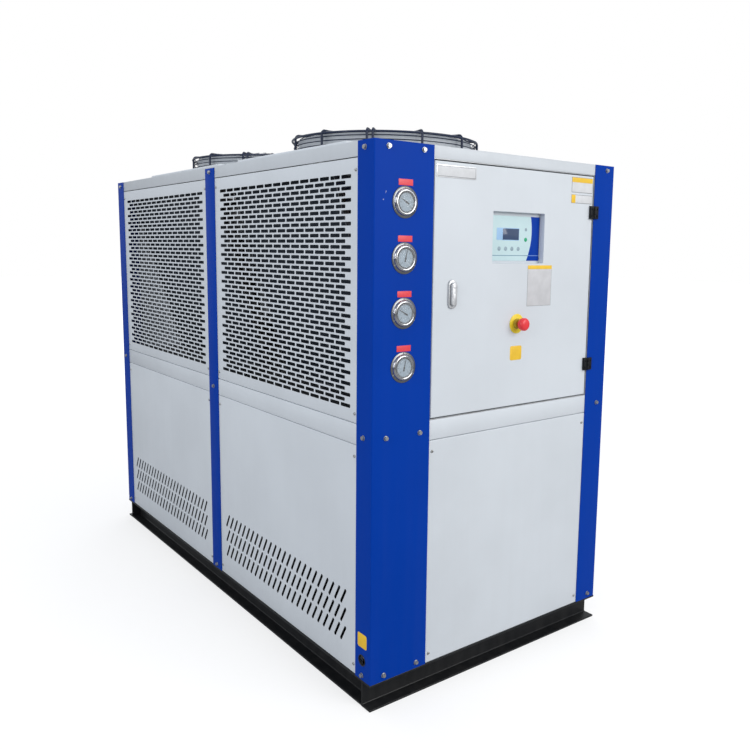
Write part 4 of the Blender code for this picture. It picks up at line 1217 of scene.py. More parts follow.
def make_fasteners(props):
    """Hex bolts on the posts and screws at the panels' corners."""
    head, deep, screw = props.bolt / 2, 0.0062, 0.0048
    end_heights, side_heights = (1.484, 0.708, 0.018), (1.481, 0.707, 0.0145)
    screw_heights = (1.4262, 0.7662, 0.646, 0.0287)
    wide_post, right_post = (0.046, 0.164), 0.942
    length = REAR - FRONT
    ends, sides, screws = [], [], []
    for z in end_heights:
        for x in wide_post:
            ends.append(hex_bolt(front_point(x, z), (0, -1, 0), head, deep))
    for z in end_heights:
        ends.append(hex_bolt(front_point(right_post, z), (0, -1, 0), head, deep))
    for x in (0.046, 0.934):
        for z in end_heights:
            ends.append(hex_bolt(np.array([LEFT + x, REAR, BASE_TOP + z]), (0, 1, 0), head, deep))
    for side in (-1, 1):
        for y in (0.041, length / 2, length - 0.040):
            for z in side_heights:
                sides.append(hex_bolt(side_point(side, y, z), (side, 0, 0), head, deep))
        for y in (0.0862, 0.9640, 1.0605, 1.9390):
            for z in screw_heights:
                screws.append(pan_screw(side_point(side, y, z, -SKIN), (side, 0, 0), screw))
    for x in (0.2125, 0.8710):
        for z in screw_heights[2:]:
            screws.append(pan_screw(door_point(x, z), (0, -1, 0), screw))
    for x in (0.112, 0.868):
        for z in screw_heights:
            screws.append(pan_screw(np.array([LEFT + x, REAR - SKIN, BASE_TOP + z]), (0, 1, 0), screw))
    for name, parts in (("end_bolts", ends), ("side_bolts", sides), ("panel_screws", screws)):
        points, faces = joined(parts)
        mesh_piece(name, points, faces, "cabinet", "galvanised_steel", "bolt", 35, 1e-7)


GAUGES = 4
GAUGE_X, TOP_GAUGE_Z, GAUGE_PITCH = 0.103, 1.343, 0.148


def make_labels(props):
    """Bare plates and stickers: badge plate, two door stickers, notice with its band, and yellow squares.
    Places are middles on the door, from the cabinet's left edge and the base's top."""
    off = 0.0001

    def sticker(name, x, z, width, height, finish, slot, radius=0.003, thick=0.0004):
        """A thin plate with its middle at a place on the door."""
        points, faces = slab(width, height, thick, radius, thick * 0.5, door_point(x, z, off), *FRONTWARD, 4)
        mesh_piece(name, points, faces, "control_door", slot, finish, CREASE, 1e-7)

    def bordered(name, x, z, width, height, field, border):
        """A blank label with a printed edge, and its field on top."""
        rim = 0.0030
        sticker(name, x, z, width, height, border, "white_enamel", 0.0008, 0.0003)
        sticker(name + "_field", x, z, width - rim, height - rim, field, "white_enamel", 0.0006, 0.0005)

    def band(name, x, z, width, height):
        """A plain yellow band or square."""
        sticker(name, x, z, width, height, "gold", "yellow_plastic", 0.0006, 0.0008)

    badge_x, badge_z, sticker_x, notice_x = 0.284, 1.434, 0.823, 0.6375
    for name, width, height, finish, radius, thick in (
        ("badge_plate", 0.148, 0.0345, "badge", 0.002, 0.0012),
        ("badge_line", 0.143, 0.0295, "edge", 0.001, 0.0014),
        ("badge_field", 0.1405, 0.0270, "paper", 0.001, 0.0016),
    ):
        sticker(name, badge_x, badge_z, width, height, finish, "galvanised_steel", radius, thick)
    bordered("upper_sticker", sticker_x, 1.430, 0.102, 0.048, "paper", "edge")
    band("upper_sticker_band", sticker_x, 1.4455, 0.100, 0.0150)
    bordered("lower_sticker", sticker_x, 1.386, 0.102, 0.027, "paper", "edge")
    band("lower_sticker_band", 0.7820, 1.386, 0.0185, 0.0255)
    bordered("notice", notice_x, 1.1125, 0.109, 0.126, "notice", "paper_edge")
    band("notice_band", notice_x, 1.1695, 0.108, 0.0115)
    sticker("door_square", 0.542, 0.9075, 0.050, 0.044, "gold", "yellow_plastic", 0.006)
    square = side_point(-1, 0.0402, 0.119, off)
    points, faces = slab(0.044, 0.042, 0.0004, 0.006, 0.0002, square, *LEFTWARD, 4)
    mesh_piece("post_square", points, faces, "cabinet", "yellow_plastic", "gold", CREASE, 1e-7)
    over_gauge = 0.052
    for i in range(GAUGES):
        spot = front_point(GAUGE_X, TOP_GAUGE_Z - GAUGE_PITCH * i + over_gauge, off)
        points, faces = slab(0.048, 0.0165, 0.0008, 0.0012, 0.0003, spot, *FRONTWARD, 3)
        mesh_piece(f"gauge_label_{i + 1}", points, faces, "cabinet", "red_plastic", "label_red", CREASE, 1e-7)


def dial_way(degrees):
    """The directions along and square to a hand at an angle on a dial that faces the front."""
    angle = math.radians(degrees)
    across = np.array([math.cos(angle), 0, math.sin(angle)])
    return across, np.array([-across[2], 0, across[0]])


def dial_marks(centre, out):
    """The dial's scale: thirty divisions over three quarters of a turn, each fifth one long, and an arc."""
    first, sweep, divisions, rim = 225, 270, 30, 0.0236
    marks = []
    for tick in range(divisions + 1):
        across, square = dial_way(first - sweep * tick / divisions)
        length, width = (0.0042, 0.0008) if tick % 5 == 0 else (0.0025, 0.0004)
        spot = centre + out * 0.0063 + across * (rim - length / 2)
        marks.append(slab(length, width, 0.0002, 0.0001, 0.00005, spot, across, square, out, 2))
    steps = 60
    band = np.radians(np.linspace(first, first - sweep, steps))
    ways = np.column_stack([np.cos(band), 0 * band, np.sin(band)])
    ring = np.stack([centre + out * 0.0065 + reach * ways for reach in (0.0239, 0.0242)])
    marks.append((ring.reshape(-1, 3), grid_faces(2, steps)))
    return marks


def figure(number, spot):
    """A dial figure as a thin mesh that stands on a spot."""
    text = bpy.data.curves.new("figure", "FONT")
    text.body = str(number)
    text.size = 0.0048
    text.align_x = "CENTER"
    text.align_y = "CENTER"
    text.resolution_u = 2
    text.extrude = 0.00008
    holder = bpy.data.objects.new("figure", text)
    bpy.context.scene.collection.objects.link(holder)
    bpy.context.view_layer.update()
    flat = bpy.data.meshes.new_from_object(holder.evaluated_get(bpy.context.evaluated_depsgraph_get()))
    places = np.zeros(len(flat.vertices) * 3)
    flat.vertices.foreach_get("co", places)
    places = places.reshape(-1, 3)
    bpy.data.objects.remove(holder)
    return placed(places[:, :2], places[:, 2], spot, *FRONTWARD), [list(p.vertices) for p in flat.polygons]


def needle(centre, out, degrees):
    """A hand with a short wide tail, tapering to its tip, and its cap."""
    across, square = dial_way(degrees)
    tail, neck, tip, steps = -0.010, -0.004, 0.022, 12
    t = np.linspace(tail, tip, steps)
    half = np.where(t < neck, 0.0019, 0.0015 - (t - neck) / (tip - neck) * 0.0009)
    body = np.stack([
        centre + out * 0.0070 + t[:, None] * across + sign * half[:, None] * square + lift * out
        for sign, lift in ((-1, 0), (1, 0), (1, 0.0004), (-1, 0.0004))], 1)
    last = 4 * (steps - 1)
    faces = grid_faces(steps, 4, True).tolist() + [[3, 2, 1, 0], [last, last + 1, last + 2, last + 3]]
    cap = [(0, 0.0066), (0.0026, 0.0066), (0.0026, 0.0074), (0.0018, 0.0078), (0, 0.0079)]
    return joined([(body.reshape(-1, 3), faces), lathe(cap, centre, out, 24)])


def make_gauges(props):
    """Pressure gauges: flange with three screws, rolled bezel, dial with a scale and figures, needle and
    glass. Each round part is a profile of radius against distance from the post, turned about its middle."""
    bezel = [
        (0.0256, 0.0028), (0.0366, 0.0028), (0.0362, 0.0036), (0.0356, 0.0056), (0.0344, 0.0074),
        (0.0326, 0.0086), (0.0306, 0.0090), (0.0288, 0.0086), (0.0273, 0.0076), (0.0266, 0.0062),
        (0.0256, 0.0060), (0.0256, 0.0028)]
    # A black ring painted in as the shadow between the bezel and the dial
    shadow_ring = [
        (0.0247, 0.0064), (0.0268, 0.0064), (0.0271, 0.0072), (0.0268, 0.0074), (0.0250, 0.0070),
        (0.0247, 0.0064)]
    dial = [(0, 0.0056), (0.0260, 0.0056), (0.0262, 0.0060), (0.0258, 0.0064), (0, 0.0064)]
    cover = [(0, 0.0081), (0.0270, 0.0077), (0.0274, 0.0079), (0.0270, 0.0082), (0, 0.0087)]
    figure_reach, screw_reach = 0.0168, 0.0390
    out = np.array([0, -1.0, 0])
    for i, reading in enumerate((150.0, 77.0, 150.0, 77.0)):
        name = f"pressure_gauge_{i + 1}"
        low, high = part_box(name)
        centre = seat(low, high)

        def fitting(part, shape, finish, crease=40, weld=1e-6):
            """One part of this gauge."""
            return mesh_piece(name + part, *shape, "cabinet", "chrome", finish, crease, weld)

        flange = (high.x - low.x) / 2
        plate = [
            (0, 0), (flange - 0.0006, 0), (flange, 0.0006), (flange, 0.0012), (flange - 0.0008, 0.0019),
            (0.0362, 0.0026), (0.0350, 0.0027), (0, 0.0027)]
        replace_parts(fitting("_flange", lathe(plate, centre, out, 72), "satin"), name)
        fitting("_bezel", lathe(bezel, centre, out, 72), "chrome")
        # The black ring round the dial is painted shadow
        fitting("_seal", lathe(shadow_ring, centre, out, 64), "rubber")
        fitting("_dial", lathe(dial, centre, out, 64), "dial")
        fitting("_scale", joined(dial_marks(centre, out)), "ink", 30, 1e-8)
        figures = []
        for number in range(7):
            across, _ = dial_way(225 - 45 * number)
            figures.append(figure(number, centre + out * 0.00655 + figure_reach * across))
        fitting("_figures", joined(figures), "ink", 30, 1e-8)
        fitting("_needle", needle(centre, out, reading), "ink", 30, 1e-8)
        fitting("_glass", lathe(cover, centre, out, 64), "glass")
        screws = []
        for turn in (90, 210, 330):
            across, _ = dial_way(turn)
            screws.append(pan_screw(centre + out * 0.0021 + screw_reach * across, out, 0.0022))
        fitting("_screws", joined(screws), "bolt", 35, 1e-8)


def make_control_unit(props):
    """The control unit in the door's well: printed film, screen, strip and domed keys."""
    low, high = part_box("control_unit")
    face = low.y
    size = high - low
    body = slab(size.x, size.z, size.y - 0.0002, 0.003, 0.0008, seat(low, high), *FRONTWARD, 4)
    piece = mesh_piece("control_body", *body, "control_door", "white_enamel", "white", CREASE, 1e-7)
    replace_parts(piece, "control_unit")

    def at(x, z, out=0.0):
        """A point on the control unit's face."""
        return np.array([LEFT + x, face - out, BASE_TOP + z])

    def plate(name, x, z, width, height, thick, radius, finish, start=0.0001):
        """A small plate on the face, with its middle at a place."""
        made = slab(width, height, thick, radius, thick * 0.4, at(x, z, start), *FRONTWARD, 5)
        mesh_piece(name, *made, "control_door", "control_film", finish, CREASE, 1e-8)

    def key(name, x, z, radius, dome, finish):
        """A domed key: a short rim, then a dome whose middle ring has the dome's radius."""
        base = 0.0012
        profile = [
            (0, base), (radius, base), (radius + 0.0002, base + 0.0005), (dome[0], base + 0.0010),
            (dome[1], base + 0.0013), (0, base + 0.0014)]
        made = lathe(profile, at(x, z), (0, -1, 0), 32)
        mesh_piece(name, *made, "control_door", "control_film", finish, 40, 1e-8)

    screen_x, screen_z, on_film = 0.5249, 1.2685, 0.0013
    plate("control_film", 0.5432, 1.2560, 0.215, 0.134, 0.0012, 0.0015, "film")
    plate("control_strip", 0.4785, 1.2688, 0.026, 0.036, 0.0004, 0.001, "strip", on_film)
    plate("control_screen_rim", screen_x, screen_z, 0.072, 0.037, 0.0006, 0.0015, "strip", on_film)
    plate("control_screen", screen_x, screen_z, 0.0685, 0.0335, 0.0005, 0.001, "screen", on_film + 0.0005)
    for i in range(4):
        key(f"control_key_{i + 1}", 0.4771 + 0.0272 * i, 1.2249, 0.0062, (0.0056, 0.0030), "key")
    for name, z, radius, finish in (
        ("start_key", 1.2532, 0.0062, "key_green"), ("stop_key", 1.2837, 0.0048, "key"),
    ):
        key(name, 0.590, z, radius, (radius * 0.85, radius * 0.5), finish)


def make_latch(props):
    """Chrome latch: a capsule plate with a boss, and its turning lever with a dished grip."""
    low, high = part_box("latch_plate")
    width, height, thick = high.x - low.x, high.z - low.z, high.y - low.y
    plate = slab(width, height, thick, width / 2 - 0.0001, 0.0016, seat(low, high), *FRONTWARD, 12)
    piece = mesh_piece("latch_plate_shell", *plate, "control_door", "chrome", "latch", 40, 1e-7)
    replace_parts(piece, "latch_plate")
    low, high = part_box("latch_lever")
    front, body, sunk = low.y, 0.0080, 0.0004
    width, height = high.x - low.x, high.z - low.z
    centre = halfway(low, high)
    centre[1] = front + body
    lever = slab(width, height, body, width / 2 - 0.0001, 0.0026, centre, *FRONTWARD, 12)
    pivot = np.array([centre[0], front, high.z - width / 2])
    boss = lathe(
        [(0, -0.001), (0.0078, -0.001), (0.0078, 0.0), (0.0074, 0.0006), (0.0050, 0.0009), (0.0046, 0.0003),
         (0, 0.0002)], pivot + np.array([0, sunk, 0]), (0, -1, 0), 40)
    spot = np.array([centre[0], front + sunk, low.z + height * 0.33])
    grip = slab(width * 0.56, height * 0.44, 0.0012, width * 0.27, 0.0006, spot, *FRONTWARD, 8)
    pin = lathe(
        [(0, 0), (0.0040, 0), (0.0042, 0.0002), (0.0042, 0.0035), (0, 0.0035)],
        pivot + np.array([0, body + 0.0033, 0]), (0, -1, 0), 24)
    shell = joined([lever, boss, grip, pin])
    piece = mesh_piece("latch_lever_shell", *shell, "latch_lever", "chrome", "latch", 40, 1e-8)
    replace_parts(piece, "latch_lever")


def make_stop(props):
    """Emergency stop: a yellow disc, a ribbed collar and a red mushroom head on its stem. Each is a profile
    of radius against distance from the door; the collar's crown is drawn in on every other pair of steps."""
    steps = 64
    low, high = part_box("stop_plate")
    centre = seat(low, high)
    disc = [
        (0.0060, 0.0004), (0.0060, 0.0016), (0.0292, 0.0020), (0.0298, 0.0016), (0.0298, 0.0004),
        (0.0292, 0.0), (0.0060, 0.0004)]
    made = lathe(disc, centre, (0, -1, 0), steps)
    piece = mesh_piece("stop_disc", *made, "control_door", "yellow_plastic", "yellow", 40, 1e-8)
    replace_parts(piece, "stop_plate")
    collar = [
        (0.0062, 0.0021), (0.0062, 0.0098), (0.0118, 0.0100), (0.0138, 0.0096), (0.0146, 0.0082),
        (0.0146, 0.0050), (0.0152, 0.0042), (0.0160, 0.0034), (0.0160, 0.0024), (0.0156, 0.0021)]
    points, _ = lathe(collar, centre, (0, -1, 0), steps)
    ring = points.reshape(len(collar), steps, 3)
    ribs = 1 - 0.035 * (np.arange(steps) % 4 < 2)
    middle = centre + (ring - centre) @ np.outer([0, 1, 0], [0, 1, 0])
    for row in (4, 5):
        ring[row] = middle[row] + (ring[row] - middle[row]) * ribs[:, None]
    made = ringed(list(ring) + [ring[0]], False)
    # The collar takes the darker yellow, painted shade under the head
    mesh_piece("stop_collar", *made, "control_door", "yellow_plastic", "collar", CREASE, 1e-8)
    low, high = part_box("stop_button")
    head = 0.0210
    stem = high.y - low.y - head
    cap = [
        (0.0054, 0), (0.0088, 0.0004), (0.0168, 0.0016), (0.0188, 0.0032), (0.0195, 0.0052), (0.0195, 0.0128),
        (0.0190, 0.0154), (0.0174, 0.0178), (0.0146, 0.0194), (0.0100, 0.0205), (0.0050, 0.0209), (0, head)]
    button = [(0, 0), (0.0052, 0), (0.0054, 0.0004)] + [(r, stem + rise) for r, rise in cap]
    made = lathe(button, seat(low, high), (0, -1, 0), steps)
    piece = mesh_piece("stop_head", *made, "stop_button", "red_plastic", "red", 40, 1e-8)
    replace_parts(piece, "stop_button")


def make_hinges(props):
    """Cast hinges: humped leaves that meet round the barrel, with screw caps."""
    from_edge, from_end, proud, cap = 0.0058, 0.0095, 0.0085, 0.0034
    for place in ("upper", "lower"):
        for leaf, body in (("door", "control_door"), ("post", "cabinet")):
            node = f"{place}_hinge_{leaf}_leaf"
            softened_node(node, 0.0007, "hinge")
            low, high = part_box(node)
            x = low.x + from_edge if leaf == "door" else high.x - from_edge
            screws = []
            for z in (low.z + from_end, high.z - from_end):
                screws.append(pan_screw(np.array([x, FACE - proud, z]), (0, -1, 0), cap))
            mesh_piece(node + "_screws", *joined(screws), body, "black_paint", "hinge", 35, 1e-8)


# stage


def quad(name, corners):
    """A flat stage piece on four corners."""
    mesh = bpy.data.meshes.new(name)
    mesh.from_pydata(corners, [], [[0, 1, 2, 3]])
    piece = bpy.data.objects.new(name, mesh)
    bpy.context.scene.collection.objects.link(piece)
    return piece


def make_floor(props):
    """A pale floor that the camera sees turn white away from the object."""
    size = 30.0
    floor = quad("floor", [(-size, -size, 0), (size, -size, 0), (size, size, 0), (-size, size, 0)])
    shade = Shade("floor_white", (0.36, 0.362, 0.365), 0.9, Specular_IOR_Level=0.1)
    clear, fade = 4.5, 5.0
    away = shade.distance((0.0, 0.0, 0.0))
    seen = shade.node("ShaderNodeLightPath", output="Is Camera Ray")
    shade.put("Emission Color", (1.0, 1.0, 1.0))
    shade.put("Emission Strength", seen * (away.over(clear, fade) * 0.34 + props.floor_glow))
    floor.data.materials.append(shade.material)


def make_world(props):
    """An even sky that lights the object, and plain white where the camera looks past it."""
    world = bpy.data.worlds.new("studio")
    world.use_nodes = True
    tree = world.node_tree
    tree.nodes.clear()
    out = tree.nodes.new("ShaderNodeOutputWorld")
    mix = tree.nodes.new("ShaderNodeMixShader")
    dim = tree.nodes.new("ShaderNodeBackground")
    bright = tree.nodes.new("ShaderNodeBackground")
    dim.inputs["Color"].default_value = (0.93, 0.96, 1.0, 1)
    dim.inputs["Strength"].default_value = props.sky
    bright.inputs["Color"].default_value = (1, 1, 1, 1)
    bright.inputs["Strength"].default_value = 1.0
    rays = tree.nodes.new("ShaderNodeLightPath")
    tree.links.new(rays.outputs["Is Camera Ray"], mix.inputs[0])
    tree.links.new(dim.outputs[0], mix.inputs[1])
    tree.links.new(bright.outputs[0], mix.inputs[2])
    tree.links.new(mix.outputs[0], out.inputs[0])
    bpy.context.scene.world = world


def make_card():
    """A dark card that only shows in the metal's shine."""
    low, high = 0.2, 2.0
    start, end = (-2.60, -1.15), (-2.45, -1.80)
    card = quad("dark_card", [(*start, low), (*end, low), (*end, high), (*start, high)])
    card.visible_camera = card.visible_diffuse = card.visible_shadow = False
    card.data.materials.append(moulded("card_black", (0.02, 0.02, 0.02), 0.9).material)


def make_lamps(props):
    """Soft area lamps, all turned to the object's middle."""
    target = Vector((0, MIDDLE, 0.85))
    for name, place, power, width, height, colour in (
        ("key", (1.6, -5.3, 2.7), props.key_power, 3.4, 2.6, (1.0, 0.99, 0.97)),
        ("fill", (-5.0, -1.6, 2.6), props.fill_power, 3.6, 2.8, (0.95, 0.97, 1.0)),
        ("top", (0.4, 0.4, 5.6), props.top_power, 4.0, 4.0, (1.0, 1.0, 1.0)),
        ("back", (3.5, 5.0, 3.6), props.fill_power * 0.6, 3.0, 3.0, (0.95, 0.97, 1.0)),
    ):
        lamp = bpy.data.lights.new(name, "AREA")
        lamp.shape = "RECTANGLE"
        lamp.size, lamp.size_y = width, height
        lamp.energy = power
        lamp.color = colour
        holder = bpy.data.objects.new(name, lamp)
        holder.location = place
        holder.rotation_euler = (target - Vector(place)).to_track_quat("-Z", "Y").to_euler()
        bpy.context.scene.collection.objects.link(holder)


def make_camera():
    """The camera that the photograph fixes: its angles in degrees, its place from the cabinet's middle, and
    its focal length and optical centre in pixels of the square photograph."""
    place = (-1.66676, MIDDLE - 2.66134, 1.29994)
    pixels, focal, centre_x, centre_y = 750, 772.188, 407.189, 355.126
    azimuth, elevation, roll = (math.radians(a) for a in (-38.09399, 7.82681, 0.81275))
    level = math.cos(elevation)
    back = np.array([math.sin(azimuth) * level, -math.cos(azimuth) * level, math.sin(elevation)])
    right = np.cross(-back, (0, 0, 1.0))
    right /= np.linalg.norm(right)
    up = np.cross(right, -back)
    right, up = (
        math.cos(roll) * right + math.sin(roll) * up, -math.sin(roll) * right + math.cos(roll) * up)
    camera = bpy.data.cameras.new("camera")
    camera.sensor_width = 36.0
    camera.sensor_fit = "HORIZONTAL"
    camera.lens = focal / pixels * camera.sensor_width
    camera.shift_x = -(centre_x - pixels / 2) / pixels
    camera.shift_y = (centre_y - pixels / 2) / pixels
    camera.clip_end = 200
    holder = bpy.data.objects.new("camera", camera)
    bpy.context.scene.collection.objects.link(holder)
    turn = Matrix([[*row] for row in np.column_stack([right, up, back])]).to_4x4()
    holder.matrix_world = Matrix.Translation(place) @ turn
    bpy.context.scene.camera = holder


def make_stage(props):
    """Pale floor and backdrop, soft lamps, a dark card and the camera."""
    bpy.context.scene.view_settings.view_transform = "Standard"
    make_floor(props)
    make_world(props)
    make_card()
    make_lamps(props)
    make_camera()


# add-on


class ChillerFinish(bpy.types.PropertyGroup):
    white: FloatVectorProperty(
        name="White enamel", description="Panel colour", subtype="COLOR", size=3, min=0, max=1,
        default=(0.66, 0.70, 0.745))
    blue: FloatVectorProperty(
        name="Blue enamel", description="Post colour", subtype="COLOR", size=3, min=0, max=1,
        default=(0.0004, 0.043, 0.362))
    black: FloatVectorProperty(
        name="Black paint", description="Base frame colour", subtype="COLOR", size=3, min=0, max=1,
        default=(0.0085, 0.0092, 0.0105))
    # The fins' colour is darkened as painted shade of the cabinet's inside, over their own coating
    fins: FloatVectorProperty(
        name="Coil fins", description="Coated fins of the coils", subtype="COLOR", size=3, min=0, max=1,
        default=(0.045, 0.060, 0.085))
    # Colour of the painted shade on the punched panels' inner face and cut edges
    inside: FloatVectorProperty(
        name="Panel inside", description="Dull inner face of the punched panels", subtype="COLOR",
        size=3, min=0, max=1, default=(0.035, 0.038, 0.045))
    wire: FloatVectorProperty(
        name="Guard wire", description="Coating of the fan guards", subtype="COLOR", size=3, min=0, max=1,
        default=(0.006, 0.014, 0.042))


class ChillerSheet(bpy.types.PropertyGroup):
    sheet: FloatProperty(
        name="Post sheet", description="Wall of the posts", unit="LENGTH",
        default=0.002, min=0.0005, precision=4)
    bend: FloatProperty(
        name="Post bend", description="Outer radius of the posts' fold", unit="LENGTH",
        default=0.004, min=0.001, precision=4)
    panel_sheet: FloatProperty(
        name="Panel sheet", description="Wall of the panels", unit="LENGTH",
        default=0.0015, min=0.0005, precision=4)
    panel_bend: FloatProperty(
        name="Panel bend", description="Outer radius of the panels' folds", unit="LENGTH",
        default=0.0025, min=0.001, precision=4)
    slot_length: FloatProperty(
        name="Slot length", description="Length of an air slot", unit="LENGTH",
        default=0.0485, min=0.01, max=0.05, precision=4)
    slot_height: FloatProperty(
        name="Slot height", description="Height of an air slot", unit="LENGTH",
        default=0.0104, min=0.002, max=0.014, precision=4)
    slot_rows: IntProperty(
        name="Slot rows", description="Rows of air slots in a grille", default=41, min=1, max=43)
    vent_width: FloatProperty(
        name="Vent width", description="Width of a leaning vent", unit="LENGTH",
        default=0.0098, min=0.002, max=0.012, precision=4)
    bolt: FloatProperty(
        name="Bolt head", description="Width of a hex head", unit="LENGTH",
        default=0.0125, min=0.006, precision=4)


class ChillerRoof(bpy.types.PropertyGroup):
    mouth: FloatProperty(
        name="Fan mouth", description="Radius of the opening over a fan", unit="LENGTH",
        default=0.300, min=0.1)
    ring_wire: FloatProperty(
        name="Ring wire", description="Radius of the rings over a guard's top", unit="LENGTH",
        default=0.0018, min=0.001, precision=4)
    side_wire: FloatProperty(
        name="Side wire", description="Radius of the rings round a guard's side", unit="LENGTH",
        default=0.0019, min=0.001, precision=4)
    cad_collar: FloatProperty(
        name="Packed collar", description="Height of the packed deck's collar over its plate",
        unit="LENGTH", default=0.045, min=0.01)
    collar: FloatProperty(
        name="Collar", description="Height of a fan's collar over its deck", unit="LENGTH",
        default=0.057, min=0.01)
    side_rings: IntProperty(
        name="Side rings", description="Rings round a guard's side", default=4, min=1, max=8)
    top_rings: IntProperty(
        name="Top rings", description="Rings over a guard's top", default=15, min=3, max=24)


class ChillerStage(bpy.types.PropertyGroup):
    key_power: FloatProperty(
        name="Key lamp", description="Power of the front lamp", unit="POWER", default=138.0)
    fill_power: FloatProperty(
        name="Fill lamp", description="Power of the side lamp", unit="POWER", default=90.0)
    top_power: FloatProperty(
        name="Top lamp", description="Power of the roof lamp", unit="POWER", default=88.0)
    sky: FloatProperty(
        name="Sky", description="Strength of the even light", default=0.64, min=0, max=2)
    floor_glow: FloatProperty(
        name="Floor glow", description="Lift of the floor's white", default=0.66, min=0, max=1)


class CHILLER_OT_finishes(bpy.types.Operator):
    """Mix the paints, platings and plastics"""
    bl_idname = "chiller.finishes"
    bl_label = "Finishes"
    bl_options = {"REGISTER", "UNDO"}

    def execute(self, context):
        make_materials(context.scene.chiller_finish)
        return {"FINISHED"}


class CHILLER_OT_base(bpy.types.Operator):
    """Roll the base's channels"""
    bl_idname = "chiller.base"
    bl_label = "Base"
    bl_options = {"REGISTER", "UNDO"}

    def execute(self, context):
        make_base(context.scene.chiller_sheet)
        return {"FINISHED"}


class CHILLER_OT_softened(bpy.types.Operator):
    """Dress the rail, roof and inner sheets"""
    bl_idname = "chiller.softened"
    bl_label = "Rail and roof"
    bl_options = {"REGISTER", "UNDO"}

    def execute(self, context):
        make_softened(context.scene.chiller_sheet)
        return {"FINISHED"}


class CHILLER_OT_posts(bpy.types.Operator):
    """Fold the blue posts"""
    bl_idname = "chiller.posts"
    bl_label = "Posts"
    bl_options = {"REGISTER", "UNDO"}

    def execute(self, context):
        make_posts(context.scene.chiller_sheet)
        return {"FINISHED"}


class CHILLER_OT_grilles(bpy.types.Operator):
    """Punch the slotted side panels"""
    bl_idname = "chiller.grilles"
    bl_label = "Grilles"
    bl_options = {"REGISTER", "UNDO"}

    def execute(self, context):
        make_grilles(context.scene.chiller_sheet)
        return {"FINISHED"}


class CHILLER_OT_vents(bpy.types.Operator):
    """Punch the vented lower panels"""
    bl_idname = "chiller.vents"
    bl_label = "Vented panels"
    bl_options = {"REGISTER", "UNDO"}

    def execute(self, context):
        make_vents(context.scene.chiller_sheet)
        return {"FINISHED"}


class CHILLER_OT_end_panels(bpy.types.Operator):
    """Fold the plain panels and the control door"""
    bl_idname = "chiller.end_panels"
    bl_label = "End panels and door"
    bl_options = {"REGISTER", "UNDO"}

    def execute(self, context):
        make_end_panels(context.scene.chiller_sheet)
        return {"FINISHED"}


class CHILLER_OT_decks(bpy.types.Operator):
    """Press the raised fan plates"""
    bl_idname = "chiller.decks"
    bl_label = "Fan plates"
    bl_options = {"REGISTER", "UNDO"}

    def execute(self, context):
        make_decks(context.scene.chiller_roof)
        return {"FINISHED"}


class CHILLER_OT_guards(bpy.types.Operator):
    """Weld the wire fan guards"""
    bl_idname = "chiller.guards"
    bl_label = "Fan guards"
    bl_options = {"REGISTER", "UNDO"}

    def execute(self, context):
        make_guards(context.scene.chiller_roof)
        return {"FINISHED"}


class CHILLER_OT_fans(bpy.types.Operator):
    """Build the fans' motors and blades"""
    bl_idname = "chiller.fans"
    bl_label = "Fans"
    bl_options = {"REGISTER", "UNDO"}

    def execute(self, context):
        make_fans(context.scene.chiller_roof)
        return {"FINISHED"}


class CHILLER_OT_coils(bpy.types.Operator):
    """Build the condenser coils"""
    bl_idname = "chiller.coils"
    bl_label = "Coils"
    bl_options = {"REGISTER", "UNDO"}

    def execute(self, context):
        make_coils(context.scene.chiller_sheet)
        return {"FINISHED"}


class CHILLER_OT_fasteners(bpy.types.Operator):
    """Drive the bolts and screws"""
    bl_idname = "chiller.fasteners"
    bl_label = "Bolts and screws"
    bl_options = {"REGISTER", "UNDO"}

    def execute(self, context):
        make_fasteners(context.scene.chiller_sheet)
        return {"FINISHED"}


class CHILLER_OT_labels(bpy.types.Operator):
    """Stick on the bare plates and labels"""
    bl_idname = "chiller.labels"
    bl_label = "Plates and labels"
    bl_options = {"REGISTER", "UNDO"}

    def execute(self, context):
        make_labels(context.scene.chiller_sheet)
        return {"FINISHED"}


class CHILLER_OT_gauges(bpy.types.Operator):
    """Mount the pressure gauges"""
    bl_idname = "chiller.gauges"
    bl_label = "Gauges"
    bl_options = {"REGISTER", "UNDO"}

    def execute(self, context):
        make_gauges(context.scene.chiller_sheet)
        return {"FINISHED"}


class CHILLER_OT_control_unit(bpy.types.Operator):
    """Fit the control unit"""
    bl_idname = "chiller.control_unit"
    bl_label = "Control unit"
    bl_options = {"REGISTER", "UNDO"}

    def execute(self, context):
        make_control_unit(context.scene.chiller_sheet)
        return {"FINISHED"}


class CHILLER_OT_latch(bpy.types.Operator):
    """Fit the door latch"""
    bl_idname = "chiller.latch"
    bl_label = "Latch"
    bl_options = {"REGISTER", "UNDO"}

    def execute(self, context):
        make_latch(context.scene.chiller_sheet)
        return {"FINISHED"}


class CHILLER_OT_stop(bpy.types.Operator):
    """Fit the emergency stop"""
    bl_idname = "chiller.stop"
    bl_label = "Emergency stop"
    bl_options = {"REGISTER", "UNDO"}

    def execute(self, context):
        make_stop(context.scene.chiller_sheet)
        return {"FINISHED"}


class CHILLER_OT_hinges(bpy.types.Operator):
    """Fit the door hinges"""
    bl_idname = "chiller.hinges"
    bl_label = "Hinges"
    bl_options = {"REGISTER", "UNDO"}

    def execute(self, context):
        make_hinges(context.scene.chiller_sheet)
        return {"FINISHED"}


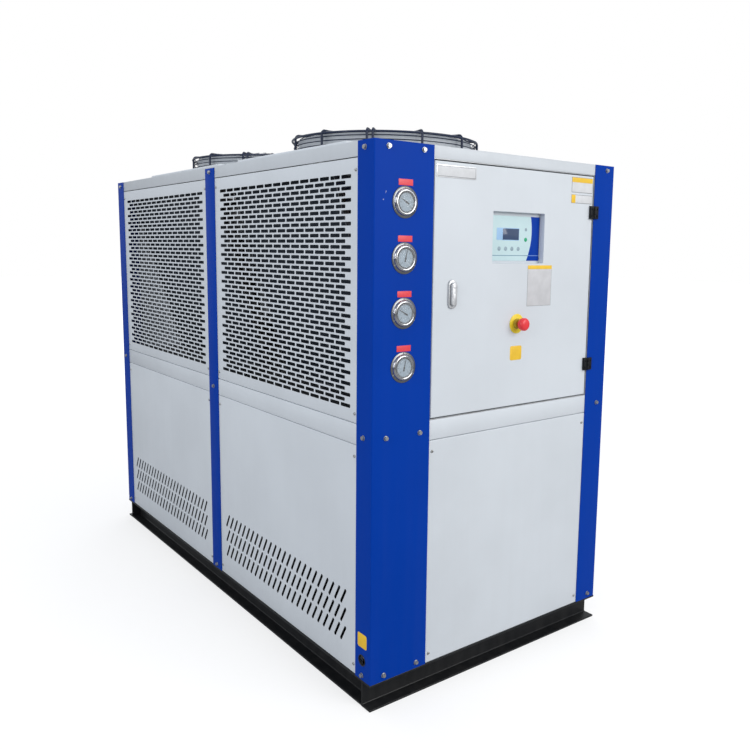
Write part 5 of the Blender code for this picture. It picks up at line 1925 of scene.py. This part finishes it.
class CHILLER_OT_stage(bpy.types.Operator):
    """Set the floor, lamps and camera"""
    bl_idname = "chiller.stage"
    bl_label = "Stage"
    bl_options = {"REGISTER", "UNDO"}

    def execute(self, context):
        make_stage(context.scene.chiller_stage)
        return {"FINISHED"}


OPERATORS = (
    CHILLER_OT_finishes, CHILLER_OT_base, CHILLER_OT_softened, CHILLER_OT_posts, CHILLER_OT_grilles,
    CHILLER_OT_vents, CHILLER_OT_end_panels, CHILLER_OT_decks, CHILLER_OT_guards, CHILLER_OT_fans,
    CHILLER_OT_coils, CHILLER_OT_fasteners, CHILLER_OT_labels, CHILLER_OT_gauges, CHILLER_OT_control_unit,
    CHILLER_OT_latch, CHILLER_OT_stop, CHILLER_OT_hinges, CHILLER_OT_stage,
)
GROUPS = {
    "chiller_finish": ChillerFinish, "chiller_sheet": ChillerSheet,
    "chiller_roof": ChillerRoof, "chiller_stage": ChillerStage,
}


class CHILLER_PT_panel(bpy.types.Panel):
    """Lists the sizes and the steps in their order"""
    bl_idname = "CHILLER_PT_panel"
    bl_label = "Water chiller"
    bl_space_type = "VIEW_3D"
    bl_region_type = "UI"
    bl_category = "Chiller"

    def draw(self, context):
        for name, group in GROUPS.items():
            box = self.layout.box()
            for prop in group.__annotations__:
                box.prop(getattr(context.scene, name), prop)
        for operator in OPERATORS:
            self.layout.operator(operator.bl_idname)


def register():
    """Adds the property groups, operators and panel to Blender."""
    for group in GROUPS.values():
        bpy.utils.register_class(group)
    for name, group in GROUPS.items():
        setattr(bpy.types.Scene, name, bpy.props.PointerProperty(type=group))
    for operator in OPERATORS:
        bpy.utils.register_class(operator)
    bpy.utils.register_class(CHILLER_PT_panel)


def unregister():
    """Takes them away again."""
    bpy.utils.unregister_class(CHILLER_PT_panel)
    for operator in reversed(OPERATORS):
        bpy.utils.unregister_class(operator)
    for name, group in GROUPS.items():
        delattr(bpy.types.Scene, name)
        bpy.utils.unregister_class(group)


def main():
    """Builds every piece and the stage by the operators."""
    register()
    for operator in OPERATORS:
        name = operator.bl_idname.split(".")[1]
        getattr(bpy.ops.chiller, name)()


if __name__ == "__main__":
    main()
